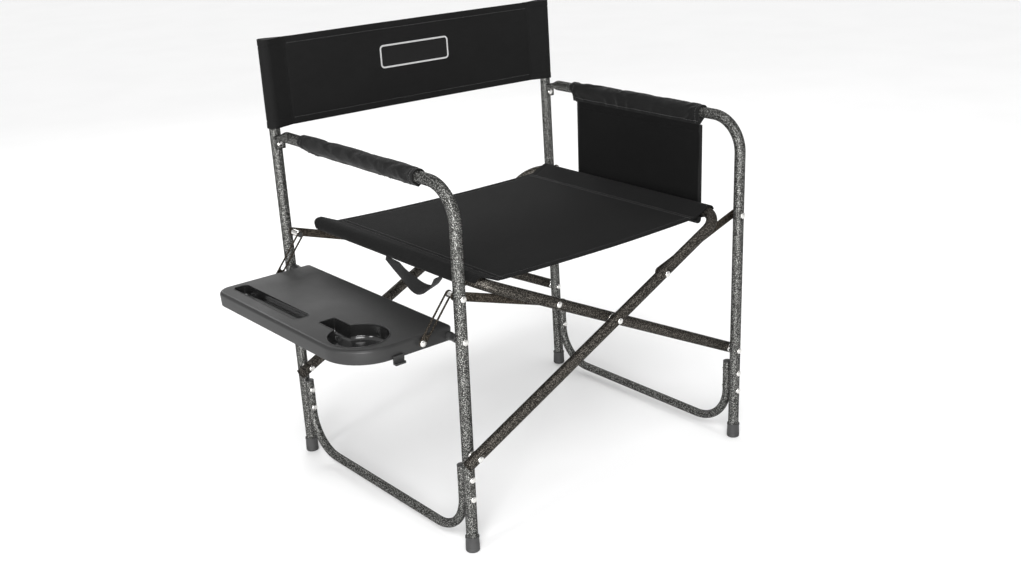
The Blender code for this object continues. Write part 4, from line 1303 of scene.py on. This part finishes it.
# ---------------------------------------------------------------- pouch and straps
def pouch():
    """Storage pouch under the right arm: a flat inner panel, and a bellied pocket outside it."""
    low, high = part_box("storage_pouch")
    low.y += 0.006
    wide = high.y - low.y
    tall = 0.606 - low.z  # it ends inside the arm pad's sewn edge
    mouth = 0.560 - low.z
    plane = low.x + 0.0018
    depth = high.x - plane - 0.0032

    def panel_at(s, t):
        free = math.sin(math.pi * min(max(t / tall, 0), 1))
        slack = 0.0016 * noise.noise(Vector((s * 9, t * 9, 7.0))) * free
        return Vector((plane + slack, low.y + s, low.z + t))

    hems = [(1, tall - 0.012, 0)]
    panel = Cloth(panel_at, lambda close: spread(0, wide, 0.0045, close),
                  lambda close: spread(0, tall, 0.0045, close), hems=hems, crease=0.0006, seed=11.0)
    inside = panel.made("pouch_panel", [POUCH_CLOTH, THREAD], [(1, 0.004, wide - 0.004, None, tall - 0.012)])
    stand_in(inside, "storage_pouch")

    def pocket_at(s, t):
        across = abs(2 * s / wide - 1)
        belly = max(1 - across ** 5, 0)
        rise = math.sin(min(max(t / 0.035, 0), 1) * math.pi / 2)
        lean = 1 - 0.35 * min(max(t / mouth, 0), 1) ** 2
        centre = 1 - 0.22 * math.exp(-((s - wide / 2) / 0.012) ** 2)
        soft = 1 + 0.10 * noise.noise(Vector((s * 12, t * 14, 4.0)))
        out = 0.0028 + depth * 0.86 * belly * rise * lean * centre * soft
        return Vector((plane + out, low.y + s, low.z + 0.001 + t))

    pocket = Cloth(pocket_at, lambda close: spread(0.001, wide - 0.001, 0.004, close),
                   lambda close: spread(0, mouth, 0.004, close), hems=[(1, mouth - HEM, 1), (0, wide / 2, 0)],
                   crease=0.0007, seed=12.0)
    rows = [(1, 0.006, wide - 0.006, None, mouth - HEM), (1, 0.004, mouth - 0.004, wide / 2, None)]
    outside = pocket.made("pouch_pocket", [POUCH_CLOTH, THREAD], rows)
    extra_piece(outside, "right_side")

    shape = Shape()
    corners = [(0, tall), (0, 0), (wide, 0), (wide, tall)]
    path = rounded([Vector((plane + 0.0012, low.y + b, low.z + c)) for b, c in corners], 0.006, 6)
    rows = sweep(shape, path, X, 0.0045, 0.0024, 12)
    shape.face(rows[0])
    shape.face(rows[-1])
    binding = shape.piece("pouch_binding", [TAPE], 60)
    threads(binding, [(p.y, p.z) for p in shape.points])
    extra_piece(binding, "right_side")


def through(points, steps=12):
    """A smooth curve through points."""
    ends = [points[0] * 2 - points[1], *points, points[-1] * 2 - points[-2]]
    path = []
    for a, b, c, d in zip(ends, ends[1:], ends[2:], ends[3:]):
        for i in range(steps):
            t = i / steps
            slope, curve, twist = c - a, 2 * a - 5 * b + 4 * c - d, 3 * b - a - 3 * c + d
            path.append(0.5 * (2 * b + slope * t + curve * t ** 2 + twist * t ** 3))
    return path + [points[-1]]


def carry_strap(side):
    """Loop of webbing under a seat edge, to carry the folded chair by."""
    node = f"{side}_carry_strap"
    hand = SIDES[side][0]
    low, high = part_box(node)
    x, top = middle(node).x, high.z
    half = 0.0118
    marks = ((0.262, -0.0045, -0.004), (0.230, 0.0090, -0.001), (0.195, 0.0225, 0.0015),
             (0.162, 0.0315, 0.002), (0.136, 0.0270, 0.001), (0.119, 0.0130, -0.001),
             (0.109, -0.0030, -0.003))  # y, how far below the seat, and how far outward
    path = through([Vector((x + hand * out, y, top - down)) for y, down, out in marks])
    lengths = distances(path)
    total = lengths[-1]
    ways = tangents(path)

    def place(s, t):
        t = min(max(t, 0), total)
        spot = along_path(path, lengths, t)
        way = along_path(ways, lengths, t).normalized()
        flat = way.cross(X).normalized()
        share = t / total
        twist = math.radians(-78) * eased((share - 0.3) / 0.55) * hand
        placed = spot + (flat * math.cos(twist) + X * math.sin(twist)) * s
        placed.z = min(placed.z, top - 0.0004)
        return placed

    strap = Cloth(place, lambda close: spread(-half, half, 0.0018, close),
                  lambda close: spread(0.001, total - 0.001, 0.002, close), thick=0.0017, crease=0.0)
    made = strap.made(f"{node}_webbing", [WEBBING, THREAD], [])
    stand_in(made, node)


# ---------------------------------------------------------------- build
def build_chair():
    for side, (_, place) in SIDES.items():
        leg_and_arm(side, place)
        rear_post(side, place)
        ground_loop(side, place)
        for end in ("front", "rear"):
            foot(side, end)
            link(side, end)
        crossed_frame(side)
    pivot_rivets()
    for end in ("front", "rear"):
        stay(end)
    table_top()
    table_fittings()
    seat()
    for side in SIDES:
        back_half(side)
        arm_pad(side)
        carry_strap(side)
    pouch()


# ---------------------------------------------------------------- studio
CHAIR_HEART = Vector((0, 0.25, 0.4))
SUN_WAY = Vector((0.5, 0.62, -0.95))
CAMERA_SPOT = (-1.417, -1.475, 1.134)
CAMERA_AZIMUTH = 39.255
CAMERA_ELEVATION = -20.012
CAMERA_ROLL = -2.274
CAMERA_LENS = 44.61  # mm, on a sensor 36 mm wide


def floor():
    """A wide sheet of pale paper."""
    mesh = bpy.data.meshes.new("floor")
    far = 60.0
    mesh.from_pydata([(-far, -far, 0), (far, -far, 0), (far, far, 0), (-far, far, 0)], [], [(0, 1, 2, 3)])
    made, tree, shader = start("floor_paper", Roughness=0.6, Specular_IOR_Level=0.15)
    colour = ramp(tree, clouds(tree, object_place(tree), 3.0, 2.0), [(0.3, 0.93), (0.7, 0.95)])
    tree.links.new(colour, shader.inputs["Base Color"])
    mesh.materials.append(made)
    thing = bpy.data.objects.new("floor", mesh)
    bpy.context.scene.collection.objects.link(thing)


def light(name, place, wide, tall, power):
    """A soft box that faces the chair's middle."""
    lamp = bpy.data.lights.new(name, "AREA")
    lamp.shape = "RECTANGLE"
    lamp.size, lamp.size_y = wide, tall
    lamp.energy = power
    thing = bpy.data.objects.new(name, lamp)
    bpy.context.scene.collection.objects.link(thing)
    thing.location = place
    thing.rotation_euler = (CHAIR_HEART - Vector(place)).to_track_quat("-Z", "Y").to_euler()


def studio():
    floor()
    world = bpy.data.worlds.new("studio")
    bpy.context.scene.world = world
    world.use_nodes = True
    tree = world.node_tree
    way = add(tree, "ShaderNodeTexCoord").outputs["Generated"]
    height = add(tree, "ShaderNodeSeparateXYZ", {"Vector": way}).outputs["Z"]
    glow = tree.nodes["Background"]
    tree.links.new(ramp(tree, height, [(0.0, 0.72), (0.35, 0.8), (1.0, 1.0)]), glow.inputs["Color"])
    glow.inputs["Strength"].default_value = 0.72
    bpy.context.scene.view_settings.view_transform = "Standard"
    light("front", (-2.2, -2.1, 0.68), 1.5, 1.2, 92)
    light("strip_left", (-2.7, -0.2, 0.9), 0.4, 1.9, 20)
    light("rim", (0.8, 2.6, 1.9), 1.6, 1.0, 20)
    sun = bpy.data.lights.new("sun", "SUN")
    sun.energy = 1.5
    sun.angle = math.radians(28)
    thing = bpy.data.objects.new("sun", sun)
    bpy.context.scene.collection.objects.link(thing)
    thing.rotation_euler = SUN_WAY.to_track_quat("-Z", "Y").to_euler()


def camera():
    azimuth, elevation, roll = [math.radians(a) for a in (CAMERA_AZIMUTH, CAMERA_ELEVATION, CAMERA_ROLL)]
    lens = bpy.data.cameras.new("camera")
    lens.lens, lens.sensor_width = CAMERA_LENS, 36
    lens.clip_start, lens.clip_end = 0.05, 100
    thing = bpy.data.objects.new("camera", lens)
    bpy.context.scene.collection.objects.link(thing)
    turned_to = Matrix.Rotation(-azimuth, 4, "Z") @ Matrix.Rotation(math.pi / 2 + elevation, 4, "X")
    thing.matrix_world = Matrix.Translation(CAMERA_SPOT) @ turned_to @ Matrix.Rotation(roll, 4, "Z")
    bpy.context.scene.camera = thing


build_chair()
studio()
camera()
